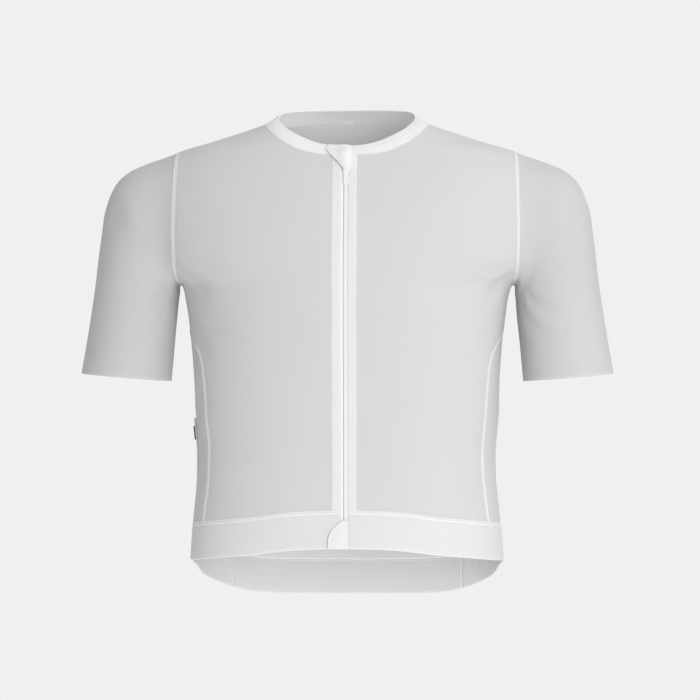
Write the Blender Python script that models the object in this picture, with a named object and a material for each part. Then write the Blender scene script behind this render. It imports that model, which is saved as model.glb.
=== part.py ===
"""A short-sleeved cycling jersey, filled out as worn and hollow inside, with a full-length zip.

The wearer faces -Y, +Z is up and +X is the wearer's left. The origin lies midway between the shoulders,
at the height where the shoulder seams rest. Every cloth piece is a wall of constant thickness that lies on
one master form, which is worked out from the sections of the trunk and the rings of the sleeve below.
Sizes are in millimetres, and the meshes are written in metres.
"""

import math

import bpy
import numpy as np

MM = 0.001

# ---------------------------------------------------------------- driving sizes
CLOTH = 1.2  # knitted panels, stretched over the form
BAND = 1.6  # hem band and collar, two layers
SEAM_GAP = 0.3
UNDERARM_GAP = 0.3  # where the sleeve and the panels fold sharply against each other
ZIP_OPENING = 4.3  # from the centre line to the edge of each front
ZIP_LINE = -0.8  # the teeth, beside the middle of the opening
TAPE_REACH_LEFT, TAPE_REACH_RIGHT = 13.7, 11.6  # how far each zip tape runs under its front
TAPE = 0.8
TAPE_DROP = 1.9  # from the outside of the fronts to the outside of the tapes
TAPE_TOP = 0.55  # where the tapes end on the collar, as a share of its height
FLAP = 1.0
TAB = 1.2
CLEAR = 0.45  # between a panel and what lies on it
HEM_BAND = 36.5
ARMHOLE_SEGMENTS = 14  # from the underarm to the shoulder tip, at the front and at the back
ARMHOLE_SPREAD = 1.4  # above 1 the points lie closer together under the arm
SIDE_TOP = (2, 6)  # where the side panel meets the armhole, counted from the underarm to the back
NECK_HALF_WIDTH, NECK_FRONT, NECK_BACK, NECK_POWER = 84.0, 72.0, 70.0, 2.7
RIM_HALF_WIDTH, RIM_FRONT, RIM_BACK, RIM_POWER = 72.0, 61.0, 56.0, 2.5
HEM_BACK_HALF_WIDTH = 121.0  # the wide elastic of the tail
POCKET_ROWS = 4  # rows of the back panel's grid from the hem to the top of the pockets
POCKET_SPLIT = 2  # columns of that grid from the centre to the side of the middle pocket
POCKET_CLOTH = 1.0
POCKET_CLEAR = 0.8  # between the back and the pockets sewn on it
POCKET_GAPE = 2.5  # how far a pocket's mouth stands off
POCKET_ZIP_ROWS = (0.12, 3.55)  # the upright zip beside the seam of the wearer's right pocket, in the same rows and columns
POCKET_ZIP_COLUMNS = (6.55, 6.93)
POCKET_ZIP_TAPE = 2.4  # tape and coil together
POCKET_SLIDER_ROW = 3.3

# ---------------------------------------------------------------- short tables
# Sections of the trunk: half width at the side, reach to the front and to the back, and how square each half is.
# Above the underarm, at -152, the half width runs on inside the sleeve, out to the shoulder and in to the neck.
TRUNK_COLUMNS = ("height", "half_width", "front", "back", "front_power", "back_power")
TRUNK = (
    (-520.0, 168.0, 106.0, 115.0, 2.35, 2.40),
    (-440.0, 164.0, 103.0, 107.0, 2.35, 2.40),
    (-412.0, 162.5, 102.0, 103.0, 2.35, 2.40),
    (-386.0, 159.5, 101.0, 99.0, 2.35, 2.40),
    (-350.0, 156.0, 101.0, 95.0, 2.35, 2.40),
    (-328.0, 155.5, 102.0, 94.0, 2.35, 2.40),
    (-286.0, 158.5, 105.0, 96.5, 2.35, 2.40),
    (-244.0, 160.5, 109.0, 102.0, 2.35, 2.40),
    (-202.0, 164.0, 113.0, 109.0, 2.35, 2.40),
    (-176.0, 167.5, 115.0, 113.0, 2.35, 2.40),
    (-160.0, 170.5, 115.5, 115.0, 2.35, 2.40),
    (-152.0, 173.3, 115.5, 115.5, 2.35, 2.40),
    (-145.0, 182.0, 115.3, 116.0, 2.35, 2.40),
    (-130.0, 197.0, 114.0, 116.0, 2.35, 2.40),
    (-110.0, 209.0, 111.0, 115.0, 2.30, 2.40),
    (-85.0, 216.0, 105.0, 112.0, 2.25, 2.40),
    (-60.0, 217.0, 96.0, 107.0, 2.20, 2.40),
    (-40.0, 211.0, 86.0, 101.0, 2.15, 2.45),
    (-25.0, 197.0, 76.0, 95.5, 2.10, 2.50),
    (-13.0, 176.5, 68.0, 90.5, 2.05, 2.55),
    (-2.0, 140.0, 61.0, 86.0, 2.00, 2.60),
    (4.0, 121.5, 57.0, 83.0, 2.00, 2.65),
    (10.0, 103.0, 53.0, 80.0, 2.00, 2.70),
    (17.0, 84.0, 49.0, 76.0, 2.00, 2.70),
    (27.0, 66.0, 43.0, 70.0, 2.00, 2.70),
    (40.0, 48.0, 36.0, 62.0, 2.00, 2.70),
)
# The armhole lies on a nearly upright surface that curves in under the arm.
ARMHOLE_COLUMNS = ("height", "half_width")
ARMHOLE = ((-152.0, 173.3), (-145.0, 175.5), (-130.0, 177.0), (-100.0, 177.5), (-60.0, 177.0), (-13.0, 176.5))
# Rings of the sleeve from the shoulder cap to the cuff: its outer and inner points, and its reach to the front and back.
SLEEVE_COLUMNS = ("outer_x", "outer_z", "inner_x", "inner_z", "front", "back", "power")
SLEEVE = (
    (242.5, -47.0, 176.3, -163.0, 57.0, 62.0, 2.15),
    (252.5, -70.0, 177.5, -176.0, 54.0, 58.0, 2.10),
    (258.5, -106.0, 179.0, -192.0, 52.0, 55.0, 2.10),
    (265.0, -158.0, 181.0, -211.0, 51.0, 53.0, 2.10),
    (271.5, -202.0, 183.0, -232.0, 51.0, 52.0, 2.10),
    (279.0, -244.5, 185.0, -252.5, 51.5, 52.0, 2.10),
)
SHOULDER_REACH = 1.15  # how far the cloth keeps the trunk's slope past the armhole, as a share of the way to the first ring
# The seams on each side of the side panel: how far each lies before (-) or behind (+) the side line.
SIDE_COLUMNS = ("height", "front_seam", "back_seam")
SIDE = (
    (-450.0, -46.0, 28.0),
    (-400.0, -49.0, 22.0),
    (-350.0, -51.5, 16.0),
    (-300.0, -52.5, 12.5),
    (-262.0, -53.0, 15.0),
    (-240.0, -52.5, 21.0),
    (-226.0, -50.0, 26.5),
    (-216.0, -42.0, 31.0),
    (-206.0, -24.0, 36.0),
    (-196.0, 0.0, 42.0),
    (-175.0, 17.0, 52.0),
)
# How far up the zip each row of the front panel starts, so that the rows run down and forward from the underarm.
CENTRE_COLUMNS = ("row_share", "height_share")
CENTRE = ((0.0, 0.0), (0.30, 0.29), (0.53, 0.475), (0.74, 0.60), (0.87, 0.80), (1.0, 1.0))
# The lower edge of the hem, from the centre front (-1) by the side (0) to the centre back (1).
HEM_COLUMNS = ("depth_share", "height")
HEM = (
    (-1.0, -422.0),
    (-0.86, -429.5),
    (-0.67, -433.5),
    (-0.47, -436.5),
    (0.0, -440.5),
    (0.27, -447.5),
    (0.426, -458.0),
    (0.62, -468.5),
    (0.777, -477.5),
    (0.88, -482.5),
    (1.0, -485.0),
)
# The flap over the top of the zip: rows from the collar's upper edge (share 1) to its seam (0), and below it by height.
FLAP_COLUMNS = ("collar_share", "height", "right_edge", "left_edge", "bulge")
FLAP_ROWS = (
    (None, -35.5, -1.2, 3.9, 0.3),
    (None, -27.5, -8.6, 7.6, 2.4),
    (0.0, None, -16.0, 10.2, 2.2),
    (0.5, None, -19.6, 10.4, 1.2),
    (0.98, None, -17.2, 10.4, 0.6),
)
# The half-round tab over the bottom of the zip: its free edge at each height.
TAB_COLUMNS = ("height", "free_edge")
TAB_ROWS = ((-422.0, -16.1), (-413.2, -16.1), (-406.0, -13.6), (-399.2, -8.0), (-394.2, -1.4))
# Sliders: outlines of the plate and of the crown on it, across and along, and a pull's half outline.
OUTLINE_COLUMNS = ("across", "along")
PLATE = ((-2.6, -4.0), (2.6, -4.0), (3.1, 1.5), (1.6, 4.2), (-1.6, 4.2), (-3.1, 1.5))
CROWN = ((-0.7, -1.9), (0.7, -1.9), (0.8, 0.0), (0.7, 1.9), (-0.7, 1.9), (-0.8, 0.0))
PULL = ((1.2, 0.8), (2.0, 0.8), (2.1, -3.6), (1.5, -5.5), (1.5, -12.2), (0.8, -12.8))
PULL_SLOT = (1.2, -2.4)
PLATE_THICK, CROWN_TALL, PULL_THICK, PIN_UP = 1.1, 2.2, 1.0, 1.4
NECK_SLIDER_BELOW_SEAM, NECK_PULL_SCALE = 5.2, 0.75
# The collar's upper edge.
RIM_COLUMNS = ("depth", "height")
RIM = ((-61.0, -10.5), (-57.0, -5.5), (-47.0, 4.0), (-38.0, 9.5), (-30.0, 14.0), (0.0, 24.0), (28.0, 31.5), (55.0, 36.0))


# ---------------------------------------------------------------- curves
def column(table, columns, name):
    return np.array([row[columns.index(name)] for row in table], float)


def smooth(knots, values, at):
    """A curve through the values that never overshoots them (Fritsch and Carlson)."""
    knots, values, at = (np.asarray(a, float) for a in (knots, values, at))
    steps, rises = np.diff(knots), np.diff(values)
    slopes = rises / steps
    tangents = np.zeros_like(values)
    inner = slopes[:-1] * slopes[1:] > 0
    left, right = 2 * steps[1:] + steps[:-1], steps[1:] + 2 * steps[:-1]
    tangents[1:-1][inner] = (left + right)[inner] / (left[inner] / slopes[:-1][inner] + right[inner] / slopes[1:][inner])
    tangents[0], tangents[-1] = slopes[0], slopes[-1]
    at = np.clip(at, knots[0], knots[-1])
    i = np.clip(np.searchsorted(knots, at, side="right") - 1, 0, len(steps) - 1)
    t = (at - knots[i]) / steps[i]
    return (
        values[i] * (1 + 2 * t) * (1 - t) ** 2
        + tangents[i] * steps[i] * t * (1 - t) ** 2
        + values[i + 1] * t * t * (3 - 2 * t)
        + tangents[i + 1] * steps[i] * t * t * (t - 1)
    )


def read(table, columns, name, at):
    return smooth(column(table, columns, columns[0]), column(table, columns, name), at)


def unit(v):
    return v / np.maximum(np.linalg.norm(v, axis=-1, keepdims=True), 1e-12)


def respace(points, shares):
    """Points at these shares of a polyline's length."""
    lengths = np.concatenate([[0.0], np.cumsum(np.linalg.norm(np.diff(points, axis=0), axis=1))])
    at = np.asarray(shares) * lengths[-1]
    return np.stack([np.interp(at, lengths, points[:, k]) for k in range(3)], axis=1)


# ---------------------------------------------------------------- the trunk's form
def trunk(name, z):
    return read(TRUNK, TRUNK_COLUMNS, name, z)


def excess(p):
    """Below 0 inside the trunk's form, above 0 outside it."""
    x, y, z = np.abs(p[..., 0]), p[..., 1], p[..., 2]
    ahead = y < 0
    power = np.where(ahead, trunk("front_power", z), trunk("back_power", z))
    reach = np.where(ahead, trunk("front", z), trunk("back", z))
    over = np.maximum(z - TRUNK[-1][0], 0) * 0.05
    return ((x / trunk("half_width", z)) ** power + (np.abs(y) / reach) ** power) ** (1 / power) - 1 + over


def normal(p):
    """The form's outward normal."""
    step = 0.4
    return unit(np.stack([excess(p + step * e) - excess(p - step * e) for e in np.eye(3)], axis=-1))


def land(base, direction, low=-25.0, high=150.0):
    """Where rays from the base points leave the form."""
    a, b = np.full(base.shape[:-1], low), np.full(base.shape[:-1], high)
    for _ in range(40):
        middle = (a + b) / 2
        inside = excess(base + middle[..., None] * direction) < 0
        a, b = np.where(inside, middle, a), np.where(inside, b, middle)
    return base + ((a + b) / 2)[..., None] * direction


def depth_at(x, z, ahead):
    """How far before or behind the side line the form lies at that place."""
    x, z = np.broadcast_arrays(np.asarray(x, float), np.asarray(z, float))
    side = "front" if ahead else "back"
    power = trunk(side + "_power", z)
    share = np.clip(1 - (np.abs(x) / trunk("half_width", z)) ** power, 0, 1) ** (1 / power)
    return (-1 if ahead else 1) * trunk(side, z) * share


def side_point(z, y):
    """A point of the form at that height and depth, on the wearer's left."""
    side = "front" if y < 0 else "back"
    power = float(trunk(side + "_power", z))
    return np.array([float(trunk("half_width", z)) * (1 - abs(y / float(trunk(side, z))) ** power) ** (1 / power), y, z])


def hem_height(y, z):
    reach = trunk("front", z) if y < 0 else trunk("back", z)
    return float(read(HEM, HEM_COLUMNS, "height", y / float(reach)))


# ---------------------------------------------------------------- seam lines, on the wearer's left
def armhole_half(ahead):
    """From the underarm to the shoulder tip."""
    heights = (ARMHOLE[0][0] + ARMHOLE[-1][0]) / 2 - (ARMHOLE[-1][0] - ARMHOLE[0][0]) / 2 * np.cos(np.linspace(0, math.pi, 400))
    x = read(ARMHOLE, ARMHOLE_COLUMNS, "half_width", heights)
    fine = np.stack([x, depth_at(x, heights, ahead), heights], axis=1)
    fine[0, 1] = fine[-1, 1] = 0.0
    return respace(fine, (np.arange(ARMHOLE_SEGMENTS + 1) / ARMHOLE_SEGMENTS) ** ARMHOLE_SPREAD)


def neck_seam(ahead, segments):
    """From the centre to the shoulder, dropped onto the form."""
    reach = NECK_FRONT if ahead else NECK_BACK
    turn = np.linspace(0, math.pi / 2, 200)
    x = NECK_HALF_WIDTH * np.sin(turn) ** (2 / NECK_POWER)
    y = reach * np.cos(turn) ** (2 / NECK_POWER)
    base = np.stack([x, -y if ahead else y, np.full_like(x, -60.0)], axis=1)
    fine = land(base, np.array([0.0, 0.0, 1.0]) + 0 * base, 0.0, 120.0)
    fine[-1] = (NECK_HALF_WIDTH, 0.0, 17.0)
    if ahead:
        first = np.array([ZIP_OPENING, *[np.interp(ZIP_OPENING, fine[:, 0], fine[:, k]) for k in (1, 2)]])
        fine = np.vstack([first, fine[fine[:, 0] > ZIP_OPENING + 0.5]])
    return respace(fine, np.linspace(0, 1, segments + 1))


def seam_at_hem(x=None, y=None, ahead=True):
    """Where the line through that x or y meets the seam above the hem band."""
    z = -400.0
    for _ in range(12):
        here = float(depth_at(x, z, ahead)) if y is None else y
        z = hem_height(here, z) + HEM_BAND
    return np.array([x, float(depth_at(x, z, ahead)), z]) if y is None else side_point(z, y)


def side_seam(which, top, segments):
    """From the hem band up to the armhole."""
    y_low = float(read(SIDE, SIDE_COLUMNS, which, -405.0 if which == "front_seam" else -415.0))
    low = seam_at_hem(y=y_low)
    heights = np.linspace(low[2], SIDE[-1][0], 60)
    fine = np.array([side_point(z, float(read(SIDE, SIDE_COLUMNS, which, z))) for z in heights])
    last = np.linspace(fine[-1], top, 8)[1:-1]
    last = land(last, unit(normal(last)), -15.0, 15.0)
    return respace(np.vstack([low, fine[1:], last, top]), np.linspace(0, 1, segments + 1))


# ---------------------------------------------------------------- panels
def outward(p):
    """Away from a core inside the form: level beside the trunk, and rising over the shoulders."""
    core = np.stack([0.55 * p[..., 0], 0 * p[..., 1], np.minimum(p[..., 2], -95.0)], axis=-1)
    return unit(p - core)


def fan(left, right, columns, spread=1.0, hem_rows=4):
    """Rows of points on the form between two seam lines, spaced evenly along each row. The lowest row follows the hem."""
    t = np.linspace(0, 1, 60)[None, :, None]
    base = left[:, None] * (1 - t) + right[:, None] * t
    sag = np.zeros(base.shape[1])
    for _ in range(8):
        low = land(base[0] + sag[:, None] * [0, 0, 1], outward(base[0]))
        sag = np.array([hem_height(p[1], p[2]) + HEM_BAND for p in low]) - base[0][:, 2]
    for i in range(hem_rows):
        base[i, :, 2] += sag * (1 - i / hem_rows)
    rows = land(base, outward(base))
    rows[:, 0], rows[:, -1] = left, right
    return np.stack([respace(row, np.linspace(0, 1, columns + 1) ** spread) for row in rows])


def quads(rows, columns, closed=False):
    wrap = columns if closed else columns + 1
    return [
        (i * wrap + j, i * wrap + (j + 1) % wrap, (i + 1) * wrap + (j + 1) % wrap, (i + 1) * wrap + j)
        for i in range(rows)
        for j in range(columns)
    ]


def flat(grid):
    return grid.reshape(-1, 3)


def armhole_normals(ring, sleeve_sides, panels):
    """At each point of the armhole, the way between the panels' and the sleeve's outward sides, longer in a sharp fold."""
    out = []
    for k, p in enumerate(ring):
        side = np.zeros(3)
        for points, normals in panels:
            for j in np.flatnonzero(np.linalg.norm(points - p, axis=1) < 1e-6):
                side += normals[j]
        side = unit(side)
        way = unit(side + sleeve_sides[k])
        out.append(way / max(float(way @ side), 0.62))
    return np.array(out)


def with_armhole(points, normals, ring, ways):
    changed = normals.copy()
    for p, way in zip(ring, ways):
        changed[np.linalg.norm(points - p, axis=1) < 1e-6] = way
    return changed


def face_normals(points, faces):
    """Normals at the points, from the faces around them."""
    out = np.zeros_like(points)
    for face in faces:
        a, b, c, d = (points[k] for k in face)
        n = np.cross(c - a, d - b)
        for k in face:
            out[k] += n
    return unit(out)


def rim_edges(faces):
    seen = {}
    for f, face in enumerate(faces):
        for a, b in zip(face, face[1:] + face[:1]):
            if (b, a) in seen:
                del seen[(b, a)]
            else:
                seen[(a, b)] = f
    return seen


def draw_in(points, faces, gap=SEAM_GAP / 2):
    """Moves the panel's edge back by half the gap between pieces."""
    push = {}
    for (a, b), f in rim_edges(faces).items():
        along = unit(points[b] - points[a])
        inward = points[list(faces[f])].mean(axis=0) - (points[a] + points[b]) / 2
        inward = unit(inward - (inward @ along) * along)
        push.setdefault(a, []).append(inward)
        push.setdefault(b, []).append(inward)
    moved = points.copy()
    for k, ways in push.items():
        total = sum(ways)
        moved[k] += gap * total / max(1 + float(ways[0] @ ways[-1]), 0.5) if len(ways) > 1 else gap * total
    return moved


def wall(name, points, normals, faces, thickness, material, lift=0.0, seams=True):
    """A closed wall: its outer skin lifted off the form by lift, its inner skin a thickness below."""
    lift = np.broadcast_to(np.asarray(lift, float).reshape(-1, 1), (len(points), 1))
    skin = draw_in(points, faces) if seams else points
    outer = skin + lift * normals
    inner = skin + (lift - thickness) * normals
    count = len(points)
    vertices = np.vstack([outer, inner])
    shell = [tuple(f) for f in faces] + [tuple(k + count for k in reversed(f)) for f in faces]
    shell += [(b, a, a + count, b + count) for a, b in rim_edges([tuple(f) for f in faces])]
    return solid(name, vertices, shell, material)


def mirrored(points):
    return points * np.array([-1.0, 1.0, 1.0])


def solid(name, vertices, faces, material):
    mesh = bpy.data.meshes.new(name)
    mesh.from_pydata([tuple(v * MM) for v in vertices], [], [tuple(f) for f in faces])
    mesh.update()
    mesh.shade_smooth()
    mesh.set_sharp_from_angle(angle=math.radians(50))
    mesh.materials.append(material)
    item = bpy.data.objects.new(name, mesh)
    bpy.context.scene.collection.objects.link(item)
    return item


def both(name, points, normals, faces, thickness, material, **more):
    """The piece on the wearer's left, and its twin on the right."""
    wall(name + "_left", points, normals, faces, thickness, material, **more)
    wall(name + "_right", mirrored(points), mirrored(normals), [tuple(reversed(f)) for f in faces], thickness, material, **more)


def dye(name, colour, roughness, metallic=0.0):
    material = bpy.data.materials.new(name)
    material.use_nodes = True
    shader = material.node_tree.nodes["Principled BSDF"]
    shader.inputs["Base Color"].default_value = (*colour, 1.0)
    shader.inputs["Roughness"].default_value = roughness
    shader.inputs["Metallic"].default_value = metallic
    return material


def main():
    for item in list(bpy.data.objects):
        bpy.data.objects.remove(item)

    knit = dye("knit", (0.68, 0.68, 0.69), 0.75)
    sleeve_knit = dye("sleeve_knit", (0.62, 0.62, 0.63), 0.75)
    band = dye("band", (0.76, 0.76, 0.77), 0.7)
    collar_cloth = dye("collar_cloth", (0.88, 0.88, 0.89), 0.7)
    tape_cloth = dye("zip_tape", (0.62, 0.62, 0.62), 0.6)
    metal = dye("zip_metal", (0.16, 0.16, 0.17), 0.4, 0.8)

    # Seam lines on the wearer's left.
    front_armhole, back_armhole = armhole_half(True), armhole_half(False)
    side_from, side_to = SIDE_TOP
    low_rows = 9
    front_seam = side_seam("front_seam", back_armhole[side_from], low_rows)
    back_seam = side_seam("back_seam", back_armhole[side_to], low_rows)

    # Front: from the zip to the side seam, and above it from the neck to the armhole.
    neck_rows, back_neck_rows = 6, 5
    edge = np.vstack([front_seam, back_armhole[side_from - 1 : 0 : -1], front_armhole])
    front_neck = neck_seam(True, neck_rows)
    zip_rows = len(edge) - 1 - neck_rows
    low = seam_at_hem(x=ZIP_OPENING, ahead=True)
    share = read(CENTRE, CENTRE_COLUMNS, "height_share", np.arange(zip_rows + 1) / zip_rows)
    heights = low[2] + share * (front_neck[0, 2] - low[2])
    zip_edge = np.stack([np.full_like(heights, ZIP_OPENING), depth_at(ZIP_OPENING, heights, True), heights], axis=1)
    zip_edge[-1] = front_neck[0]
    front_grid = fan(np.vstack([zip_edge, front_neck[1:]]), edge, 8)
    front = flat(front_grid), quads(len(edge) - 1, 8)

    # Side panel.
    side_top = back_armhole[side_from : side_to + 1]
    side_grid = fan(front_seam, back_seam, side_to - side_from)
    side_grid[-1] = side_top
    side = flat(side_grid), quads(low_rows, side_to - side_from)

    # Back, in one piece: half of it from the centre to the side seam and armhole, and its mirror image.
    edge = np.vstack([back_seam, back_armhole[side_to + 1 :]])
    back_neck = neck_seam(False, back_neck_rows)
    low = seam_at_hem(x=0.0, ahead=False)
    heights = np.linspace(low[2], back_neck[0, 2], len(edge) - back_neck_rows)
    centre = np.stack([np.zeros_like(heights), depth_at(0.0, heights, False), heights], axis=1)
    centre[-1] = back_neck[0]
    half = fan(np.vstack([centre, back_neck[1:]]), edge, 7)
    # From the wearer's left to the right. Below the neck both halves share the centre line.
    back_grid = np.concatenate([half[:, ::-1], mirrored(half)[:, 1:]], axis=1)
    rows, columns = len(edge) - 1, 14
    points = flat(back_grid)
    split = {}
    for i in range(len(heights), rows + 1):
        split[i * (columns + 1) + 7] = len(points) + len(split)
    points = np.vstack([points, [mirrored(points[k]) for k in split]])
    faces = [face if n % columns < 7 else tuple(split.get(k, k) for k in face) for n, face in enumerate(quads(rows, columns))]
    back = points, faces

    # Sleeve, and the fold where it meets the panels.
    sleeve_points, sleeve_faces = sleeve(front_armhole, back_armhole)
    ring = sleeve_points[: 2 * ARMHOLE_SEGMENTS]
    normals = face_normals(sleeve_points, sleeve_faces)
    panels = [(p, face_normals(p, f)) for p, f in (front, side, back)]
    ways = armhole_normals(ring, normals[: len(ring)], panels)
    both("front", front[0], with_armhole(front[0], normal(front[0]), ring, ways), front[1], CLOTH, knit)
    both("side", side[0], with_armhole(side[0], normal(side[0]), ring, ways), side[1], CLOTH, knit)
    out = with_armhole(points, normal(points), ring, ways)
    wall("back", points, with_armhole(points, out, mirrored(ring), mirrored(ways)), faces, CLOTH, knit)
    normals[: len(ring)] = ways
    stand_off = np.interp(ring[:, 2], (-150.0, -110.0), (UNDERARM_GAP, 0.0))
    sleeve_points[: len(ring), 0] += stand_off
    both("sleeve", sleeve_points, normals, sleeve_faces, CLOTH, sleeve_knit)

    # Collar: from the zip round the back of the neck to the zip.
    seam = np.vstack([mirrored(front_neck), mirrored(back_neck[::-1])[1:], back_neck[1:], front_neck[::-1][1:]])
    turn = rim_line(seam)
    rise = np.linspace(0, 1, 3)[:, None, None]
    grid = seam[None] * (1 - rise) + turn[None] * rise
    points, faces = flat(grid), quads(2, len(seam) - 1)
    normals = face_normals(points, faces)
    if normals[len(seam) // 2][2] < 0:
        faces = [tuple(reversed(f)) for f in faces]
        normals = -normals
    normals[: len(seam)] = normal(seam)
    wall("collar", points, normals, faces, BAND, collar_cloth)

    # Hem band: from the zip round the side to the tail, and the tail's own wide band.
    line = np.vstack([front_grid[0], side_grid[0][1:], half[0][::-1][1:]])
    down = np.array([hem_point(p) for p in line])
    share = np.linspace(0, 1, 3)[:, None, None]
    grid = down[None] * (1 - share) + line[None] * share
    grid[1] = land(grid[1], normal(grid[1]), -15.0, 15.0)
    split = len(front_grid[0]) + len(side_grid[0]) - 2 + int(np.argmin(np.abs(half[0][::-1][:, 0] - HEM_BACK_HALF_WIDTH)))
    part = grid[:, : split + 1]
    points = flat(part)
    both("hem", points, normal(points), quads(2, split), BAND, band)
    part = grid[:, split:]
    part = np.concatenate([part, mirrored(part)[:, -2::-1]], axis=1)
    points = flat(part)
    wall("hem_back", points, normal(points), quads(2, part.shape[1] - 1), BAND, band)

    zip_tapes(grid, front_grid, zip_rows, seam, turn, tape_cloth)
    neck_slider(seam, metal)
    zip_garage(seam, turn, collar_cloth)
    hem_tab(band)
    pockets(half, knit, tape_cloth, metal)


def sleeve_ring(row, segments):
    """The front and back halves of one ring, from its inner point to its outer point."""
    outer_x, outer_z, inner_x, inner_z, front, back, power = row
    inner, outer = np.array([inner_x, 0.0, inner_z]), np.array([outer_x, 0.0, outer_z])
    middle, reach = (inner + outer) / 2, (outer - inner) / 2
    turn = np.linspace(0, math.pi, 240)
    along = -np.sign(np.cos(turn)) * np.abs(np.cos(turn)) ** (2 / power)
    out = np.abs(np.sin(turn)) ** (2 / power)
    halves = []
    for depth in (-front, back):
        fine = middle + along[:, None] * reach + (out * depth)[:, None] * np.array([0.0, 1.0, 0.0])
        halves.append(respace(fine, (np.arange(segments + 1) / segments) ** ARMHOLE_SPREAD))
    return halves


def sleeve(front_armhole, back_armhole, steps=3):
    """Lines from the armhole to the cuff through the rings, which leave the armhole along the trunk's own slope."""
    segments = ARMHOLE_SEGMENTS

    def loop(front, back):  # from the shoulder tip down the front and up the back
        return np.vstack([front[::-1], back[1:-1]])

    start = loop(front_armhole, back_armhole)
    rings = [start] + [loop(*sleeve_ring(row, segments)) for row in SLEEVE]
    around = np.roll(start, -1, axis=0) - np.roll(start, 1, axis=0)
    leave = unit(np.cross(normal(start), unit(around)))
    leave *= np.sign(leave[:, :1] + 1e-9)
    leave[:, 2] = np.where(start[:, 2] < -120, np.minimum(leave[:, 2], 0.0), leave[:, 2])
    leave = unit(leave)
    gaps = [np.linalg.norm(b - a, axis=1) for a, b in zip(rings, rings[1:])]
    tangents = [leave * (gaps[0] * SHOULDER_REACH)[:, None]]
    for k in range(1, len(rings) - 1):
        before, after = gaps[k - 1][:, None], gaps[k][:, None]
        tangents.append(((rings[k] - rings[k - 1]) / before * after + (rings[k + 1] - rings[k]) / after * before) / (before + after))
    tangents.append((rings[-1] - rings[-2]) / gaps[-1][:, None])
    lines = [start]
    for k in range(len(rings) - 1):
        cuts = steps + 1 if k == 0 else (2 if k in (3,) else 1)
        for t in np.linspace(0, 1, cuts + 1)[1:]:
            span = gaps[k][:, None]
            m0 = tangents[k] if k == 0 else tangents[k] * span
            m1 = tangents[k + 1] * span
            lines.append(
                rings[k] * (1 + 2 * t) * (1 - t) ** 2 + m0 * t * (1 - t) ** 2 + rings[k + 1] * t * t * (3 - 2 * t) + m1 * t * t * (t - 1)
            )
    points = flat(np.stack(lines))
    count = 2 * segments
    faces = [tuple(reversed(f)) for f in quads(len(lines) - 1, count, closed=True)]
    if face_normals(points, faces)[0][2] < 0:
        faces = [tuple(reversed(f)) for f in faces]
    return points, faces


def rim_line(seam):
    """The collar's upper edge, point for point above its seam."""
    out = []
    for x, y, _ in seam:
        reach, rim = (NECK_FRONT, RIM_FRONT) if y < 0 else (NECK_BACK, RIM_BACK)
        u, v = abs(x) / NECK_HALF_WIDTH, abs(y) / reach
        angle = math.atan2(u ** (NECK_POWER / 2), v ** (NECK_POWER / 2))
        rx = RIM_HALF_WIDTH * math.sin(angle) ** (2 / RIM_POWER)
        ry = rim * math.cos(angle) ** (2 / RIM_POWER)
        rx = max(rx, ZIP_OPENING) if y < 0 else rx
        ry = -ry if y < 0 else ry
        out.append((math.copysign(rx, x) if abs(x) > 1e-6 else 0.0, ry, float(read(RIM, RIM_COLUMNS, "height", ry))))
    out = np.array(out)
    out[0, 0], out[-1, 0] = math.copysign(ZIP_OPENING, seam[0][0]), math.copysign(ZIP_OPENING, seam[-1][0])
    return out


def hem_point(p):
    """The point of the hem's lower edge below a point of the seam above it."""
    reach = float(trunk("front", p[2]) if p[1] < 0 else trunk("back", p[2]))
    share = p[1] / reach
    z = float(read(HEM, HEM_COLUMNS, "height", share))
    if abs(share) > 0.6:
        return np.array([p[0] * float(trunk("half_width", z) / trunk("half_width", p[2])), 0, z]) * [1, 0, 1] + np.array(
            [0, float(depth_at(p[0] * float(trunk("half_width", z) / trunk("half_width", p[2])), z, p[1] < 0)), 0]
        )
    return side_point(z, share * float(trunk("front", z) if p[1] < 0 else trunk("back", z)))


def at_x(line, x):
    """The point of a polyline, whose x rises, at that x."""
    return np.array([x, np.interp(x, line[:, 0], line[:, 1]), np.interp(x, line[:, 0], line[:, 2])])


def zip_tapes(hem_grid, front_grid, zip_rows, seam, turn, material):
    """The two tapes, each from the teeth to its edge under the front, from the hem to the collar."""
    lines = [hem_grid[0, :2] * 0.9 + hem_grid[1, :2] * 0.1, hem_grid[1, :2]]
    lines += [front_grid[i, :2] for i in range(zip_rows)]
    ends = np.stack([seam[-1], seam[-2]])
    lines += [ends, ends * (1 - TAPE_TOP) + np.stack([turn[-1], turn[-2]]) * TAPE_TOP]
    for name, teeth, reach, flip in (
        ("zip_tape_left", ZIP_LINE + SEAM_GAP / 2, TAPE_REACH_LEFT, False),
        ("zip_tape_right", -ZIP_LINE + SEAM_GAP / 2, TAPE_REACH_RIGHT, True),
    ):
        grid = []
        for pair in lines:
            slope = (pair[1] - pair[0]) / (pair[1][0] - pair[0][0])
            edge = pair[0] * [0, 1, 1] + [teeth, 0, 0]
            grid.append([edge, pair[0], pair[0] + slope * (reach - pair[0][0])])
        points, faces = np.array(grid).reshape(-1, 3), quads(len(grid) - 1, 2)
        normals = face_normals(points, faces)
        if flip:
            points, normals, faces = mirrored(points), mirrored(normals), [tuple(reversed(f)) for f in faces]
        wall(name, points, normals, faces, TAPE, material, lift=-TAPE_DROP, seams=False)


def collar_row(seam, turn, share):
    """One row of the collar near the zip, from the wearer's right to the left."""
    row = seam * (1 - share) + turn * share
    return np.vstack([row[:5][::-1] if row[4][0] < row[0][0] else row[:5], row[-5:][::-1] if row[-5][0] < row[-1][0] else row[-5:]])


def front_row(height):
    x = np.linspace(-40, 40, 33)
    return np.stack([x, depth_at(x, height, True), np.full_like(x, height)], axis=1)


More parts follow.
